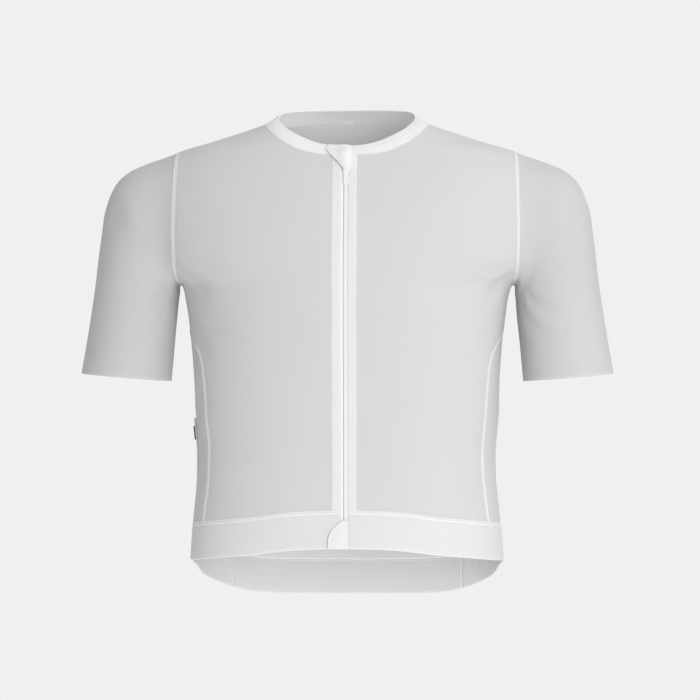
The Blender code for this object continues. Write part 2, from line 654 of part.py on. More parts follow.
def stack(name, place, rings, material, pivot=None):
    """A solid from rings of (height, outline), set on a place of (origin, across, along, out)."""
    origin, across, along, out = place
    vertices = [origin + a * across + b * along + n * out for n, outline in rings for a, b in outline]
    count = len(rings[0][1])
    faces = [tuple(reversed(range(count))), tuple(range(len(vertices) - count, len(vertices)))]
    faces += quads(len(rings) - 1, count, closed=True)
    pivot = np.zeros(3) if pivot is None else pivot
    item = solid(name, np.array(vertices) - pivot, faces, material)
    item.data.shade_flat()
    item.location = tuple(pivot * MM)
    return item


def shift(outline, along):
    return [(a, b + along) for a, b in outline]


def slider(name, place, material):
    stack(name, place, [(0, PLATE), (PLATE_THICK, PLATE), (PLATE_THICK, CROWN), (PLATE_THICK + CROWN_TALL, CROWN)], material)


def neck_slider(seam, material):
    """The zip's slider, closed at the top, and its pull, which lies down the zip under the flap."""
    start = seam[-1] * [0, 1, 1] + [ZIP_LINE, 0, 0]
    along = unit(start - at_x(front_row(-33.0), ZIP_LINE))
    out = np.cross(along, [-1.0, 0.0, 0.0])
    out = out if out[1] < 0 else -out
    across = np.cross(along, out)
    origin = start - along * NECK_SLIDER_BELOW_SEAM - out * (TAPE_DROP - 0.35)
    slider("zip_slider", (origin, across, along, out), material)
    pull("zip_pull", (origin, across, along, out), material, NECK_PULL_SCALE)


def pull(name, place, material, scale=1.0):
    """A flat pull, forked round the slider's crown, that lies along the zip below it."""
    origin, across, along, out = place
    slot, floor = PULL_SLOT
    left = [(-slot, floor)] + [(-a, b if b > -4 else b * scale) for a, b in PULL]
    outline = left + [(-a, b) for a, b in reversed(left)]
    pin = origin + out * (PLATE_THICK + PIN_UP)
    stack(name, (pin, across, along, out), [(-PULL_THICK / 2, outline), (PULL_THICK / 2, outline)], material, pin)
    return pin


def zip_garage(seam, turn, material):
    """The flap on the collar's left end, which folds over the top of the zip."""
    grid, lifts = [], []
    for share, height, right, left, bulge in FLAP_ROWS:
        row = front_row(height) if share is None else collar_row(seam, turn, share)
        xs = np.linspace(right, left, 7)
        grid.append([at_x(row, x) for x in xs])
        lifts.append(CLEAR + FLAP + bulge * np.clip(1 - ((xs - ZIP_LINE) / 8.5) ** 2, 0, 1))
    points, faces = np.array(grid).reshape(-1, 3), quads(len(grid) - 1, 6)
    normals = face_normals(points, faces)
    if normals[10][1] > 0:
        faces = [tuple(reversed(f)) for f in faces]
        normals = -normals
    wall("zip_garage", points, normals, faces, FLAP, material, lift=np.array(lifts).ravel(), seams=False)


def hem_tab(material):
    """The half-round end of the left hem band, which crosses the bottom of the zip."""
    grid, lifts = [], []
    for height, free in TAB_ROWS:
        xs = np.linspace(free, ZIP_OPENING - SEAM_GAP, 6)
        grid.append(np.stack([xs, depth_at(xs, height, True), np.full_like(xs, height)], axis=1))
        lifts.append(np.interp(xs, (-ZIP_OPENING, ZIP_OPENING), (CLEAR + TAB, 0.0)))
    points, faces = np.array(grid).reshape(-1, 3), quads(len(grid) - 1, 5)
    wall("hem_tab", points, normal(points), faces, TAB, material, lift=np.array(lifts).ravel(), seams=False)


def pockets(half, knit, tape_cloth, metal):
    """Three pockets on the back above the tail's band, their mouths open at the top, and the zip on one of them."""
    rows, columns = POCKET_ROWS, half.shape[1] - 1
    low = half[: rows + 1]

    def gape(count):
        across = np.sin(np.linspace(0, math.pi, count + 1))
        up = (np.arange(rows + 1) / rows) ** 3
        return POCKET_CLEAR + POCKET_CLOTH + POCKET_GAPE * up[:, None] * across[None]

    def ordered(part):
        """Counted so that the faces look outward."""
        return part[:, ::-1]

    middle = np.concatenate([low[:, POCKET_SPLIT:0:-1], mirrored(low[:, : POCKET_SPLIT + 1])], axis=1)
    count = 2 * POCKET_SPLIT
    points = flat(middle)
    wall("pocket_centre", points, normal(points), quads(rows, count), POCKET_CLOTH, knit, lift=gape(count).ravel())
    outer = ordered(low[:, POCKET_SPLIT:])
    count = columns - POCKET_SPLIT
    points = flat(outer)
    both("pocket", points, normal(points), quads(rows, count), POCKET_CLOTH, knit, lift=gape(count).ravel())

    # The zip, on the wearer's right pocket.
    skin = mirrored((points + gape(count).reshape(-1, 1) * normal(points)).reshape(rows + 1, count + 1, 3))

    def on_pocket(row, column):
        j = columns - column
        i0, j0 = min(int(row), rows - 1), min(int(j), count - 1)
        a, b = row - i0, j - j0
        return (
            skin[i0, j0] * (1 - a) * (1 - b) + skin[i0 + 1, j0] * a * (1 - b) + skin[i0, j0 + 1] * (1 - a) * b + skin[i0 + 1, j0 + 1] * a * b
        )

    steps = [POCKET_ZIP_ROWS[0], 1.0, 2.0, 3.0, POCKET_ZIP_ROWS[1]]
    grid = np.array([[on_pocket(r, c) for c in POCKET_ZIP_COLUMNS] for r in steps])
    points, faces = flat(grid), quads(len(steps) - 1, 1)
    normals = face_normals(points, faces)
    if normals[0][0] > 0:
        faces, normals = [tuple(reversed(f)) for f in faces], -normals
    wall("pocket_zip", points, normals, faces, POCKET_ZIP_TAPE, tape_cloth, lift=CLEAR + POCKET_ZIP_TAPE, seams=False)

    # Its slider stands at the top, and the pull hangs along the zip.
    middle = sum(POCKET_ZIP_COLUMNS) / 2
    spot = on_pocket(POCKET_SLIDER_ROW, middle)
    along = unit(on_pocket(POCKET_ZIP_ROWS[1], middle) - on_pocket(3.0, middle))
    out = unit(np.cross(along, on_pocket(3.3, POCKET_ZIP_COLUMNS[1]) - on_pocket(3.3, POCKET_ZIP_COLUMNS[0])))
    out = out if out[0] < 0 else -out
    across = np.cross(along, out)
    place = (spot + out * (CLEAR + POCKET_ZIP_TAPE + 0.35), across, along, out)
    slider("pocket_zip_slider", place, metal)
    pin = pull("pocket_zip_pull", place, metal)
    print("the pocket's pull turns about", (-across).round(6).tolist(), "at", (pin * MM).round(6).tolist())


main()
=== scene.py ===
"""The looks of the cycling jersey: fine cloth shells on the same master form as the solids they stand for.

The form and the seam lines are worked out again here from the same named sizes, in millimetres, at a finer step,
so every shell lies on its solid. Seams, folded edges, creases, stitching, zip coils and the knit are added on top.
"""

import math

import bpy
import numpy as np
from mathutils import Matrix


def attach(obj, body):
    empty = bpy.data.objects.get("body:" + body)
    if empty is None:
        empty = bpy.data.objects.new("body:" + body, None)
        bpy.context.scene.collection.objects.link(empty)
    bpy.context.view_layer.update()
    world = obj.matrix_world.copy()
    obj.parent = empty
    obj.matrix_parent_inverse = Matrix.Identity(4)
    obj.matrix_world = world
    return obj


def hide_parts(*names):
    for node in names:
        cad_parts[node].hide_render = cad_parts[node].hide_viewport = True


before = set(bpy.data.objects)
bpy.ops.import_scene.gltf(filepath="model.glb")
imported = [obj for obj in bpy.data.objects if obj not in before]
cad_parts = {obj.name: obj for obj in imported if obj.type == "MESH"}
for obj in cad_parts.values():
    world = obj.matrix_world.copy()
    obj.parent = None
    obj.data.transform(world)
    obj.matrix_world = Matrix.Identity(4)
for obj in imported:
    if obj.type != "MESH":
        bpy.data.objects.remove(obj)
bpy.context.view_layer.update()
MM = 0.001

# ---------------------------------------------------------------- light
WORLD = 0.63
# Name, place, diameter and power of each soft lamp. All point at the middle of the jersey.
LAMPS = (
    ("key", (1.15, -2.77, -0.25), 1.8, 53.0),
    ("side_right", (2.56, -0.45, 1.25), 1.8, 22.0),
    ("top", (0.0, -0.9, 2.7), 1.8, 18.0),
    ("low", (-0.1, -0.3, -1.35), 1.4, 6.5),
)


# ---------------------------------------------------------------- the design's sizes and tables, in millimetres
CLOTH = 1.2  # knitted panels, stretched over the form
BAND = 1.6  # hem band and collar, two layers
SEAM_GAP = 0.3
UNDERARM_GAP = 0.3  # where the sleeve and the panels fold sharply against each other
ZIP_OPENING = 4.3  # from the centre line to the edge of each front
ZIP_LINE = -0.8  # the teeth, beside the middle of the opening
TAPE_REACH_LEFT, TAPE_REACH_RIGHT = 13.7, 11.6  # how far each zip tape runs under its front
TAPE = 0.8
TAPE_DROP = 1.9  # from the outside of the fronts to the outside of the tapes
TAPE_TOP = 0.55  # where the tapes end on the collar, as a share of its height
FLAP = 1.0
TAB = 1.2
CLEAR = 0.45  # between a panel and what lies on it
HEM_BAND = 36.5
ARMHOLE_SEGMENTS = 14  # from the underarm to the shoulder tip, at the front and at the back
ARMHOLE_SPREAD = 1.4  # above 1 the points lie closer together under the arm
SIDE_TOP = (2, 6)  # where the side panel meets the armhole, counted from the underarm to the back
NECK_HALF_WIDTH, NECK_FRONT, NECK_BACK, NECK_POWER = 84.0, 72.0, 70.0, 2.7
RIM_HALF_WIDTH, RIM_FRONT, RIM_BACK, RIM_POWER = 72.0, 61.0, 56.0, 2.5
HEM_BACK_HALF_WIDTH = 121.0  # the wide elastic of the tail
POCKET_ROWS = 4  # rows of the back panel's grid from the hem to the top of the pockets
POCKET_SPLIT = 2  # columns of that grid from the centre to the side of the middle pocket
POCKET_CLOTH = 1.0
POCKET_CLEAR = 0.8  # between the back and the pockets sewn on it
POCKET_GAPE = 2.5  # how far a pocket's mouth stands off
POCKET_ZIP_ROWS = (0.12, 3.55)  # the upright zip beside the seam of the wearer's right pocket, in the same rows and columns
POCKET_ZIP_COLUMNS = (6.55, 6.93)
POCKET_ZIP_TAPE = 2.4  # tape and coil together
POCKET_SLIDER_ROW = 3.3

# ---------------------------------------------------------------- short tables
# Sections of the trunk: half width at the side, reach to the front and to the back, and how square each half is.
# Above the underarm, at -152, the half width runs on inside the sleeve, out to the shoulder and in to the neck.
TRUNK_COLUMNS = ("height", "half_width", "front", "back", "front_power", "back_power")
TRUNK = (
    (-520.0, 168.0, 106.0, 115.0, 2.35, 2.40),
    (-440.0, 164.0, 103.0, 107.0, 2.35, 2.40),
    (-412.0, 162.5, 102.0, 103.0, 2.35, 2.40),
    (-386.0, 159.5, 101.0, 99.0, 2.35, 2.40),
    (-350.0, 156.0, 101.0, 95.0, 2.35, 2.40),
    (-328.0, 155.5, 102.0, 94.0, 2.35, 2.40),
    (-286.0, 158.5, 105.0, 96.5, 2.35, 2.40),
    (-244.0, 160.5, 109.0, 102.0, 2.35, 2.40),
    (-202.0, 164.0, 113.0, 109.0, 2.35, 2.40),
    (-176.0, 167.5, 115.0, 113.0, 2.35, 2.40),
    (-160.0, 170.5, 115.5, 115.0, 2.35, 2.40),
    (-152.0, 173.3, 115.5, 115.5, 2.35, 2.40),
    (-145.0, 182.0, 115.3, 116.0, 2.35, 2.40),
    (-130.0, 197.0, 114.0, 116.0, 2.35, 2.40),
    (-110.0, 209.0, 111.0, 115.0, 2.30, 2.40),
    (-85.0, 216.0, 105.0, 112.0, 2.25, 2.40),
    (-60.0, 217.0, 96.0, 107.0, 2.20, 2.40),
    (-40.0, 211.0, 86.0, 101.0, 2.15, 2.45),
    (-25.0, 197.0, 76.0, 95.5, 2.10, 2.50),
    (-13.0, 176.5, 68.0, 90.5, 2.05, 2.55),
    (-2.0, 140.0, 61.0, 86.0, 2.00, 2.60),
    (4.0, 121.5, 57.0, 83.0, 2.00, 2.65),
    (10.0, 103.0, 53.0, 80.0, 2.00, 2.70),
    (17.0, 84.0, 49.0, 76.0, 2.00, 2.70),
    (27.0, 66.0, 43.0, 70.0, 2.00, 2.70),
    (40.0, 48.0, 36.0, 62.0, 2.00, 2.70),
)
# The armhole lies on a nearly upright surface that curves in under the arm.
ARMHOLE_COLUMNS = ("height", "half_width")
ARMHOLE = ((-152.0, 173.3), (-145.0, 175.5), (-130.0, 177.0), (-100.0, 177.5), (-60.0, 177.0), (-13.0, 176.5))
# Rings of the sleeve from the shoulder cap to the cuff: its outer and inner points, and its reach to the front and back.
SLEEVE_COLUMNS = ("outer_x", "outer_z", "inner_x", "inner_z", "front", "back", "power")
SLEEVE = (
    (242.5, -47.0, 176.3, -163.0, 57.0, 62.0, 2.15),
    (252.5, -70.0, 177.5, -176.0, 54.0, 58.0, 2.10),
    (258.5, -106.0, 179.0, -192.0, 52.0, 55.0, 2.10),
    (265.0, -158.0, 181.0, -211.0, 51.0, 53.0, 2.10),
    (271.5, -202.0, 183.0, -232.0, 51.0, 52.0, 2.10),
    (279.0, -244.5, 185.0, -252.5, 51.5, 52.0, 2.10),
)
SHOULDER_REACH = 1.15  # how far the cloth keeps the trunk's slope past the armhole, as a share of the way to the first ring
# The seams on each side of the side panel: how far each lies before (-) or behind (+) the side line.
SIDE_COLUMNS = ("height", "front_seam", "back_seam")
SIDE = (
    (-450.0, -46.0, 28.0),
    (-400.0, -49.0, 22.0),
    (-350.0, -51.5, 16.0),
    (-300.0, -52.5, 12.5),
    (-262.0, -53.0, 15.0),
    (-240.0, -52.5, 21.0),
    (-226.0, -50.0, 26.5),
    (-216.0, -42.0, 31.0),
    (-206.0, -24.0, 36.0),
    (-196.0, 0.0, 42.0),
    (-175.0, 17.0, 52.0),
)
# How far up the zip each row of the front panel starts, so that the rows run down and forward from the underarm.
CENTRE_COLUMNS = ("row_share", "height_share")
CENTRE = ((0.0, 0.0), (0.30, 0.29), (0.53, 0.475), (0.74, 0.60), (0.87, 0.80), (1.0, 1.0))
# The lower edge of the hem, from the centre front (-1) by the side (0) to the centre back (1).
HEM_COLUMNS = ("depth_share", "height")
HEM = (
    (-1.0, -422.0),
    (-0.86, -429.5),
    (-0.67, -433.5),
    (-0.47, -436.5),
    (0.0, -440.5),
    (0.27, -447.5),
    (0.426, -458.0),
    (0.62, -468.5),
    (0.777, -477.5),
    (0.88, -482.5),
    (1.0, -485.0),
)
# The flap over the top of the zip: rows from the collar's upper edge (share 1) to its seam (0), and below it by height.
FLAP_COLUMNS = ("collar_share", "height", "right_edge", "left_edge", "bulge")
FLAP_ROWS = (
    (None, -35.5, -1.2, 3.9, 0.3),
    (None, -27.5, -8.6, 7.6, 2.4),
    (0.0, None, -16.0, 10.2, 2.2),
    (0.5, None, -19.6, 10.4, 1.2),
    (0.98, None, -17.2, 10.4, 0.6),
)
# The half-round tab over the bottom of the zip: its free edge at each height.
TAB_COLUMNS = ("height", "free_edge")
TAB_ROWS = ((-422.0, -16.1), (-413.2, -16.1), (-406.0, -13.6), (-399.2, -8.0), (-394.2, -1.4))
# Sliders: outlines of the plate and of the crown on it, across and along, and a pull's half outline.
OUTLINE_COLUMNS = ("across", "along")
PLATE = ((-2.6, -4.0), (2.6, -4.0), (3.1, 1.5), (1.6, 4.2), (-1.6, 4.2), (-3.1, 1.5))
CROWN = ((-0.7, -1.9), (0.7, -1.9), (0.8, 0.0), (0.7, 1.9), (-0.7, 1.9), (-0.8, 0.0))
PULL = ((1.2, 0.8), (2.0, 0.8), (2.1, -3.6), (1.5, -5.5), (1.5, -12.2), (0.8, -12.8))
PULL_SLOT = (1.2, -2.4)
PLATE_THICK, CROWN_TALL, PULL_THICK, PIN_UP = 1.1, 2.2, 1.0, 1.4
NECK_SLIDER_BELOW_SEAM, NECK_PULL_SCALE = 5.2, 0.75
# The collar's upper edge.
RIM_COLUMNS = ("depth", "height")
RIM = ((-61.0, -10.5), (-57.0, -5.5), (-47.0, 4.0), (-38.0, 9.5), (-30.0, 14.0), (0.0, 24.0), (28.0, 31.5), (55.0, 36.0))


# ---------------------------------------------------------------- curves
def column(table, columns, name):
    return np.array([row[columns.index(name)] for row in table], float)


def smooth(knots, values, at):
    """A curve through the values that never overshoots them (Fritsch and Carlson)."""
    knots, values, at = (np.asarray(a, float) for a in (knots, values, at))
    steps, rises = np.diff(knots), np.diff(values)
    slopes = rises / steps
    tangents = np.zeros_like(values)
    inner = slopes[:-1] * slopes[1:] > 0
    left, right = 2 * steps[1:] + steps[:-1], steps[1:] + 2 * steps[:-1]
    tangents[1:-1][inner] = (left + right)[inner] / (left[inner] / slopes[:-1][inner] + right[inner] / slopes[1:][inner])
    tangents[0], tangents[-1] = slopes[0], slopes[-1]
    at = np.clip(at, knots[0], knots[-1])
    i = np.clip(np.searchsorted(knots, at, side="right") - 1, 0, len(steps) - 1)
    t = (at - knots[i]) / steps[i]
    return (
        values[i] * (1 + 2 * t) * (1 - t) ** 2
        + tangents[i] * steps[i] * t * (1 - t) ** 2
        + values[i + 1] * t * t * (3 - 2 * t)
        + tangents[i + 1] * steps[i] * t * t * (t - 1)
    )


def read(table, columns, name, at):
    return smooth(column(table, columns, columns[0]), column(table, columns, name), at)


def unit(v):
    return v / np.maximum(np.linalg.norm(v, axis=-1, keepdims=True), 1e-12)


def respace(points, shares):
    """Points at these shares of a polyline's length."""
    lengths = np.concatenate([[0.0], np.cumsum(np.linalg.norm(np.diff(points, axis=0), axis=1))])
    at = np.asarray(shares) * lengths[-1]
    return np.stack([np.interp(at, lengths, points[:, k]) for k in range(3)], axis=1)


# ---------------------------------------------------------------- the trunk's form
def trunk(name, z):
    return read(TRUNK, TRUNK_COLUMNS, name, z)


def excess(p):
    """Below 0 inside the trunk's form, above 0 outside it."""
    x, y, z = np.abs(p[..., 0]), p[..., 1], p[..., 2]
    ahead = y < 0
    power = np.where(ahead, trunk("front_power", z), trunk("back_power", z))
    reach = np.where(ahead, trunk("front", z), trunk("back", z))
    over = np.maximum(z - TRUNK[-1][0], 0) * 0.05
    return ((x / trunk("half_width", z)) ** power + (np.abs(y) / reach) ** power) ** (1 / power) - 1 + over


def normal(p):
    """The form's outward normal."""
    step = 0.4
    return unit(np.stack([excess(p + step * e) - excess(p - step * e) for e in np.eye(3)], axis=-1))


def land(base, direction, low=-25.0, high=150.0):
    """Where rays from the base points leave the form."""
    a, b = np.full(base.shape[:-1], low), np.full(base.shape[:-1], high)
    for _ in range(40):
        middle = (a + b) / 2
        inside = excess(base + middle[..., None] * direction) < 0
        a, b = np.where(inside, middle, a), np.where(inside, b, middle)
    return base + ((a + b) / 2)[..., None] * direction


def depth_at(x, z, ahead):
    """How far before or behind the side line the form lies at that place."""
    x, z = np.broadcast_arrays(np.asarray(x, float), np.asarray(z, float))
    side = "front" if ahead else "back"
    power = trunk(side + "_power", z)
    share = np.clip(1 - (np.abs(x) / trunk("half_width", z)) ** power, 0, 1) ** (1 / power)
    return (-1 if ahead else 1) * trunk(side, z) * share


def side_point(z, y):
    """A point of the form at that height and depth, on the wearer's left."""
    side = "front" if y < 0 else "back"
    power = float(trunk(side + "_power", z))
    return np.array([float(trunk("half_width", z)) * (1 - abs(y / float(trunk(side, z))) ** power) ** (1 / power), y, z])


def hem_height(y, z):
    reach = trunk("front", z) if y < 0 else trunk("back", z)
    return float(read(HEM, HEM_COLUMNS, "height", y / float(reach)))


# ---------------------------------------------------------------- seam lines, on the wearer's left
def armhole_half(ahead):
    """From the underarm to the shoulder tip."""
    heights = (ARMHOLE[0][0] + ARMHOLE[-1][0]) / 2 - (ARMHOLE[-1][0] - ARMHOLE[0][0]) / 2 * np.cos(np.linspace(0, math.pi, 400))
    x = read(ARMHOLE, ARMHOLE_COLUMNS, "half_width", heights)
    fine = np.stack([x, depth_at(x, heights, ahead), heights], axis=1)
    fine[0, 1] = fine[-1, 1] = 0.0
    return respace(fine, (np.arange(ARMHOLE_SEGMENTS * K + 1) / (ARMHOLE_SEGMENTS * K)) ** ARMHOLE_SPREAD)


def neck_seam(ahead, segments):
    """From the centre to the shoulder, dropped onto the form."""
    reach = NECK_FRONT if ahead else NECK_BACK
    turn = np.linspace(0, math.pi / 2, 200)
    x = NECK_HALF_WIDTH * np.sin(turn) ** (2 / NECK_POWER)
    y = reach * np.cos(turn) ** (2 / NECK_POWER)
    base = np.stack([x, -y if ahead else y, np.full_like(x, -60.0)], axis=1)
    fine = land(base, np.array([0.0, 0.0, 1.0]) + 0 * base, 0.0, 120.0)
    fine[-1] = (NECK_HALF_WIDTH, 0.0, 17.0)
    if ahead:
        first = np.array([ZIP_OPENING, *[np.interp(ZIP_OPENING, fine[:, 0], fine[:, k]) for k in (1, 2)]])
        fine = np.vstack([first, fine[fine[:, 0] > ZIP_OPENING + 0.5]])
    return respace(fine, np.linspace(0, 1, segments + 1))


def seam_at_hem(x=None, y=None, ahead=True):
    """Where the line through that x or y meets the seam above the hem band."""
    z = -400.0
    for _ in range(12):
        here = float(depth_at(x, z, ahead)) if y is None else y
        z = hem_height(here, z) + HEM_BAND
    return np.array([x, float(depth_at(x, z, ahead)), z]) if y is None else side_point(z, y)


def side_seam(which, top, segments):
    """From the hem band up to the armhole."""
    y_low = float(read(SIDE, SIDE_COLUMNS, which, -405.0 if which == "front_seam" else -415.0))
    low = seam_at_hem(y=y_low)
    heights = np.linspace(low[2], SIDE[-1][0], 160)
    fine = np.array([side_point(z, float(read(SIDE, SIDE_COLUMNS, which, z))) for z in heights])
    last = np.linspace(fine[-1], top, 8)[1:-1]
    last = land(last, unit(normal(last)), -15.0, 15.0)
    return respace(np.vstack([low, fine[1:], last, top]), np.linspace(0, 1, segments + 1))


# ---------------------------------------------------------------- fine grids
K = 16  # fine steps on each coarse step of a seam
KNIT_WALE, KNIT_COURSE = 0.9, 0.75
WELT = 0.42  # height of the flat seams

# Soft creases: where each starts and ends, how deep (mm, inward) and how wide it is.
CREASE_COLUMNS = ("from_xyz", "to_xyz", "depth", "width")
CREASES = (
    # front, wearer's right underarm (left in the view)
    ((-170, -48, -134), (-146, -80, -168), 1.5, 8.0),
    ((-171, -40, -150), (-126, -92, -200), 1.1, 9.5),
    ((-165, -60, -124), (-108, -99, -150), 0.7, 10.0),
    ((-166, -40, -176), (-140, -80, -232), 0.9, 9.5),
    # front, wearer's left underarm
    ((171, -46, -133), (149, -77, -166), 1.6, 7.5),
    ((171, -40, -152), (131, -89, -196), 1.0, 9.5),
    ((166, -58, -127), (118, -96, -143), 0.6, 10.0),
    ((164, -45, -178), (146, -76, -226), 0.8, 9.0),
    # back, both underarms
    ((-168, 60, -135), (-140, 88, -168), 2.2, 8.0),
    ((-166, 66, -150), (-118, 104, -206), 1.3, 9.5),
    ((168, 60, -136), (143, 86, -164), 2.3, 8.0),
    ((167, 64, -152), (126, 100, -212), 1.1, 9.5),
    ((-150, 70, -236), (-92, 98, -262), 0.8, 11.0),
    ((149, 70, -228), (98, 96, -258), 0.9, 11.0),
    # waist
    ((-150, -40, -318), (-84, -92, -334), 0.6, 12.0),
    ((150, -42, -326), (96, -88, -338), 0.5, 12.0),
)
SLEEVE_CREASES = (
    ((-181, -34, -158), (-212, -56, -178), 1.8, 6.5),
    ((-183, -30, -176), (-222, -54, -206), 1.0, 8.0),
    ((-184, 26, -162), (-214, 52, -190), 1.4, 7.5),
    ((183, -32, -160), (216, -55, -182), 1.9, 6.0),
    ((184, -28, -182), (214, -53, -214), 1.1, 7.0),
    ((184, 26, -164), (214, 52, -196), 1.4, 7.5),
    ((-236, -50, -60), (-248, -40, -104), 0.7, 10.0),
    ((238, -50, -64), (250, -38, -108), 0.6, 10.0),
)


def cross_section(points_front_to_back):
    return points_front_to_back


def steps_between(near, far, length, fine=0.45, coarse=2.6):
    """Shares from 0 to 1, close together at the ends named near and far."""
    out, at, step = [0.0], 0.0, fine if near else coarse
    half = length / 2
    ups = []
    while at < half:
        at += step
        if at < half:
            ups.append(at)
        if at > 4.5:
            step = min(step * 1.35, coarse)
    downs, at, step = [], 0.0, fine if far else coarse
    while at < half:
        at += step
        if at < half:
            downs.append(at)
        if at > 4.5:
            step = min(step * 1.35, coarse)
    shares = [0.0] + ups + [half] + [length - d for d in reversed(downs)] + [length]
    return np.array(shares) / length


def at_steps(dense, r):
    """Points of a finely sampled line, K points to a coarse step, at these coarse steps."""
    k = np.arange(len(dense)) / K
    return np.stack([np.interp(r, k, dense[:, j]) for j in range(3)], axis=1)


def outward(p):
    core = np.stack([0.55 * p[..., 0], 0 * p[..., 1], np.minimum(p[..., 2], -95.0)], axis=-1)
    return unit(p - core)


def fan(left, right, shares, r, hem_rows=4.0, samples=70):
    t = np.linspace(0, 1, samples)[None, :, None]
    base = left[:, None] * (1 - t) + right[:, None] * t
    sag = np.zeros(base.shape[1])
    for _ in range(8):
        low = land(base[0] + sag[:, None] * [0, 0, 1], outward(base[0]))
        sag = np.array([hem_height(p[1], p[2]) + HEM_BAND for p in low]) - base[0][:, 2]
    base[:, :, 2] += sag * np.clip(1 - r / hem_rows, 0, 1)[:, None]
    rows = land(base, outward(base))
    rows[:, 0], rows[:, -1] = left, right
    return np.stack([respace(row, shares) for row in rows])


def quads(rows, columns, closed=False):
    wrap = columns if closed else columns + 1
    i, j = np.meshgrid(np.arange(rows), np.arange(columns), indexing="ij")
    k = (j + 1) % wrap
    return np.stack([i * wrap + j, i * wrap + k, (i + 1) * wrap + k, (i + 1) * wrap + j], axis=-1).reshape(-1, 4)


def flat(grid):
    return grid.reshape(-1, 3)


def mirrored(points):
    return points * np.array([-1.0, 1.0, 1.0])


def face_normals(points, faces):
    a, b, c, d = (points[faces[:, k]] for k in range(4))
    n = np.cross(c - a, d - b)
    out = np.zeros_like(points)
    for k in range(4):
        np.add.at(out, faces[:, k], n)
    return unit(out)


def to_line(points, line):
    """How far each point is from a line, and how far along the line its nearest place is."""
    lengths = np.concatenate([[0.0], np.cumsum(np.linalg.norm(np.diff(line, axis=0), axis=1))])
    count = max(int(lengths[-1] / 1.2), 2)
    at = np.linspace(0, lengths[-1], count + 1)
    dots = np.stack([np.interp(at, lengths, line[:, k]) for k in range(3)], axis=1)
    a, ab = dots[:-1], np.diff(dots, axis=0)
    span = (ab**2).sum(1)
    far, along = np.empty(len(points)), np.empty(len(points))
    for i in range(0, len(points), 1500):
        p = points[i : i + 1500]
        near = np.argmin(((p[:, None] - (a + ab / 2)[None]) ** 2).sum(-1), axis=1)
        t = np.clip(((p - a[near]) * ab[near]).sum(1) / span[near], 0, 1)
        q = a[near] + t[:, None] * ab[near]
        far[i : i + 1500] = np.linalg.norm(p - q, axis=1)
        along[i : i + 1500] = at[near] + t * (at[1] - at[0])
    return far, along


def creases(points, table):
    out = np.zeros(len(points))
    for start, end, depth, width in table:
        a, b = np.array(start, float), np.array(end, float)
        ab = b - a
        t = ((points - a) @ ab) / (ab @ ab)
        q = a + np.clip(t, 0, 1)[:, None] * ab
        # Deepest a third of the way along, with a soft swell on each side; the bow is computed but not applied.
        bow = 4.0 * np.sin(np.pi * np.clip(t, 0, 1))
        d = np.abs(np.linalg.norm(points - q, axis=1) - 0 * bow)
        taper = np.clip(np.sin(np.pi * np.clip(t * 0.86 + 0.14, 0, 1)), 0, 1) ** 0.8
        taper *= np.clip(1 - np.maximum(t - 1, 0) * 4, 0, 1) * np.clip(1 + np.minimum(t, 0) * 6, 0, 1)
        out += depth * taper * (-np.exp(-((d / width) ** 2)) + 0.42 * np.exp(-(((d - 1.75 * width) / width) ** 2)))
    return out


def drift(points, size, seed):
    """A slow, smooth, uneven swell of the cloth."""
    rng = np.random.RandomState(seed)
    out = np.zeros(len(points))
    for _ in range(7):
        way = unit(rng.normal(size=3)) / (size * rng.uniform(0.7, 1.6))
        out += np.sin(points @ way * 2 * math.pi + rng.uniform(0, 6.28))
    return out / 7


# ---------------------------------------------------------------- meshes
def build(name, vertices, faces, material, smooth=True):
    mesh = bpy.data.meshes.new(name)
    vertices = np.asarray(vertices, float) * MM
    mesh.vertices.add(len(vertices))
    mesh.vertices.foreach_set("co", vertices.astype(np.float32).ravel())
    sizes = [len(f) for f in faces] if not isinstance(faces, np.ndarray) else [faces.shape[1]] * len(faces)
    loops = np.concatenate([np.asarray(f) for f in faces]) if not isinstance(faces, np.ndarray) else faces.ravel()
    mesh.loops.add(len(loops))
    mesh.loops.foreach_set("vertex_index", loops.astype(np.int32))
    mesh.polygons.add(len(sizes))
    mesh.polygons.foreach_set("loop_start", np.concatenate([[0], np.cumsum(sizes)[:-1]]).astype(np.int32))
    mesh.polygons.foreach_set("loop_total", np.array(sizes, np.int32))
    mesh.update(calc_edges=True)
    mesh.validate()
    mesh.polygons.foreach_set("use_smooth", np.full(len(mesh.polygons), smooth))
    mesh.materials.append(material)
    item = bpy.data.objects.new(name, mesh)
    bpy.context.scene.collection.objects.link(item)
    return item


def give(item, name, values):
    attribute = item.data.attributes.new(name, "FLOAT", "POINT")
    attribute.data.foreach_set("value", np.asarray(values, np.float32))


def give_uv(item, uv):
    layer = item.data.uv_layers.new(name="weave")
    loops = np.empty(len(item.data.loops), np.int32)
    item.data.loops.foreach_get("vertex_index", loops)
    layer.data.foreach_set("uv", np.asarray(uv, np.float32)[loops].ravel())


def rim(faces):
    """The edges with a face on one side only, as (a, b, face) in that face's order."""
    a = faces.ravel()
    b = np.roll(faces, -1, axis=1).ravel()
    f = np.repeat(np.arange(len(faces)), 4)
    big = a.max() + 1
    forward, backward = a * big + b, b * big + a
    alone = ~np.isin(forward, backward)
    return a[alone], b[alone], f[alone]


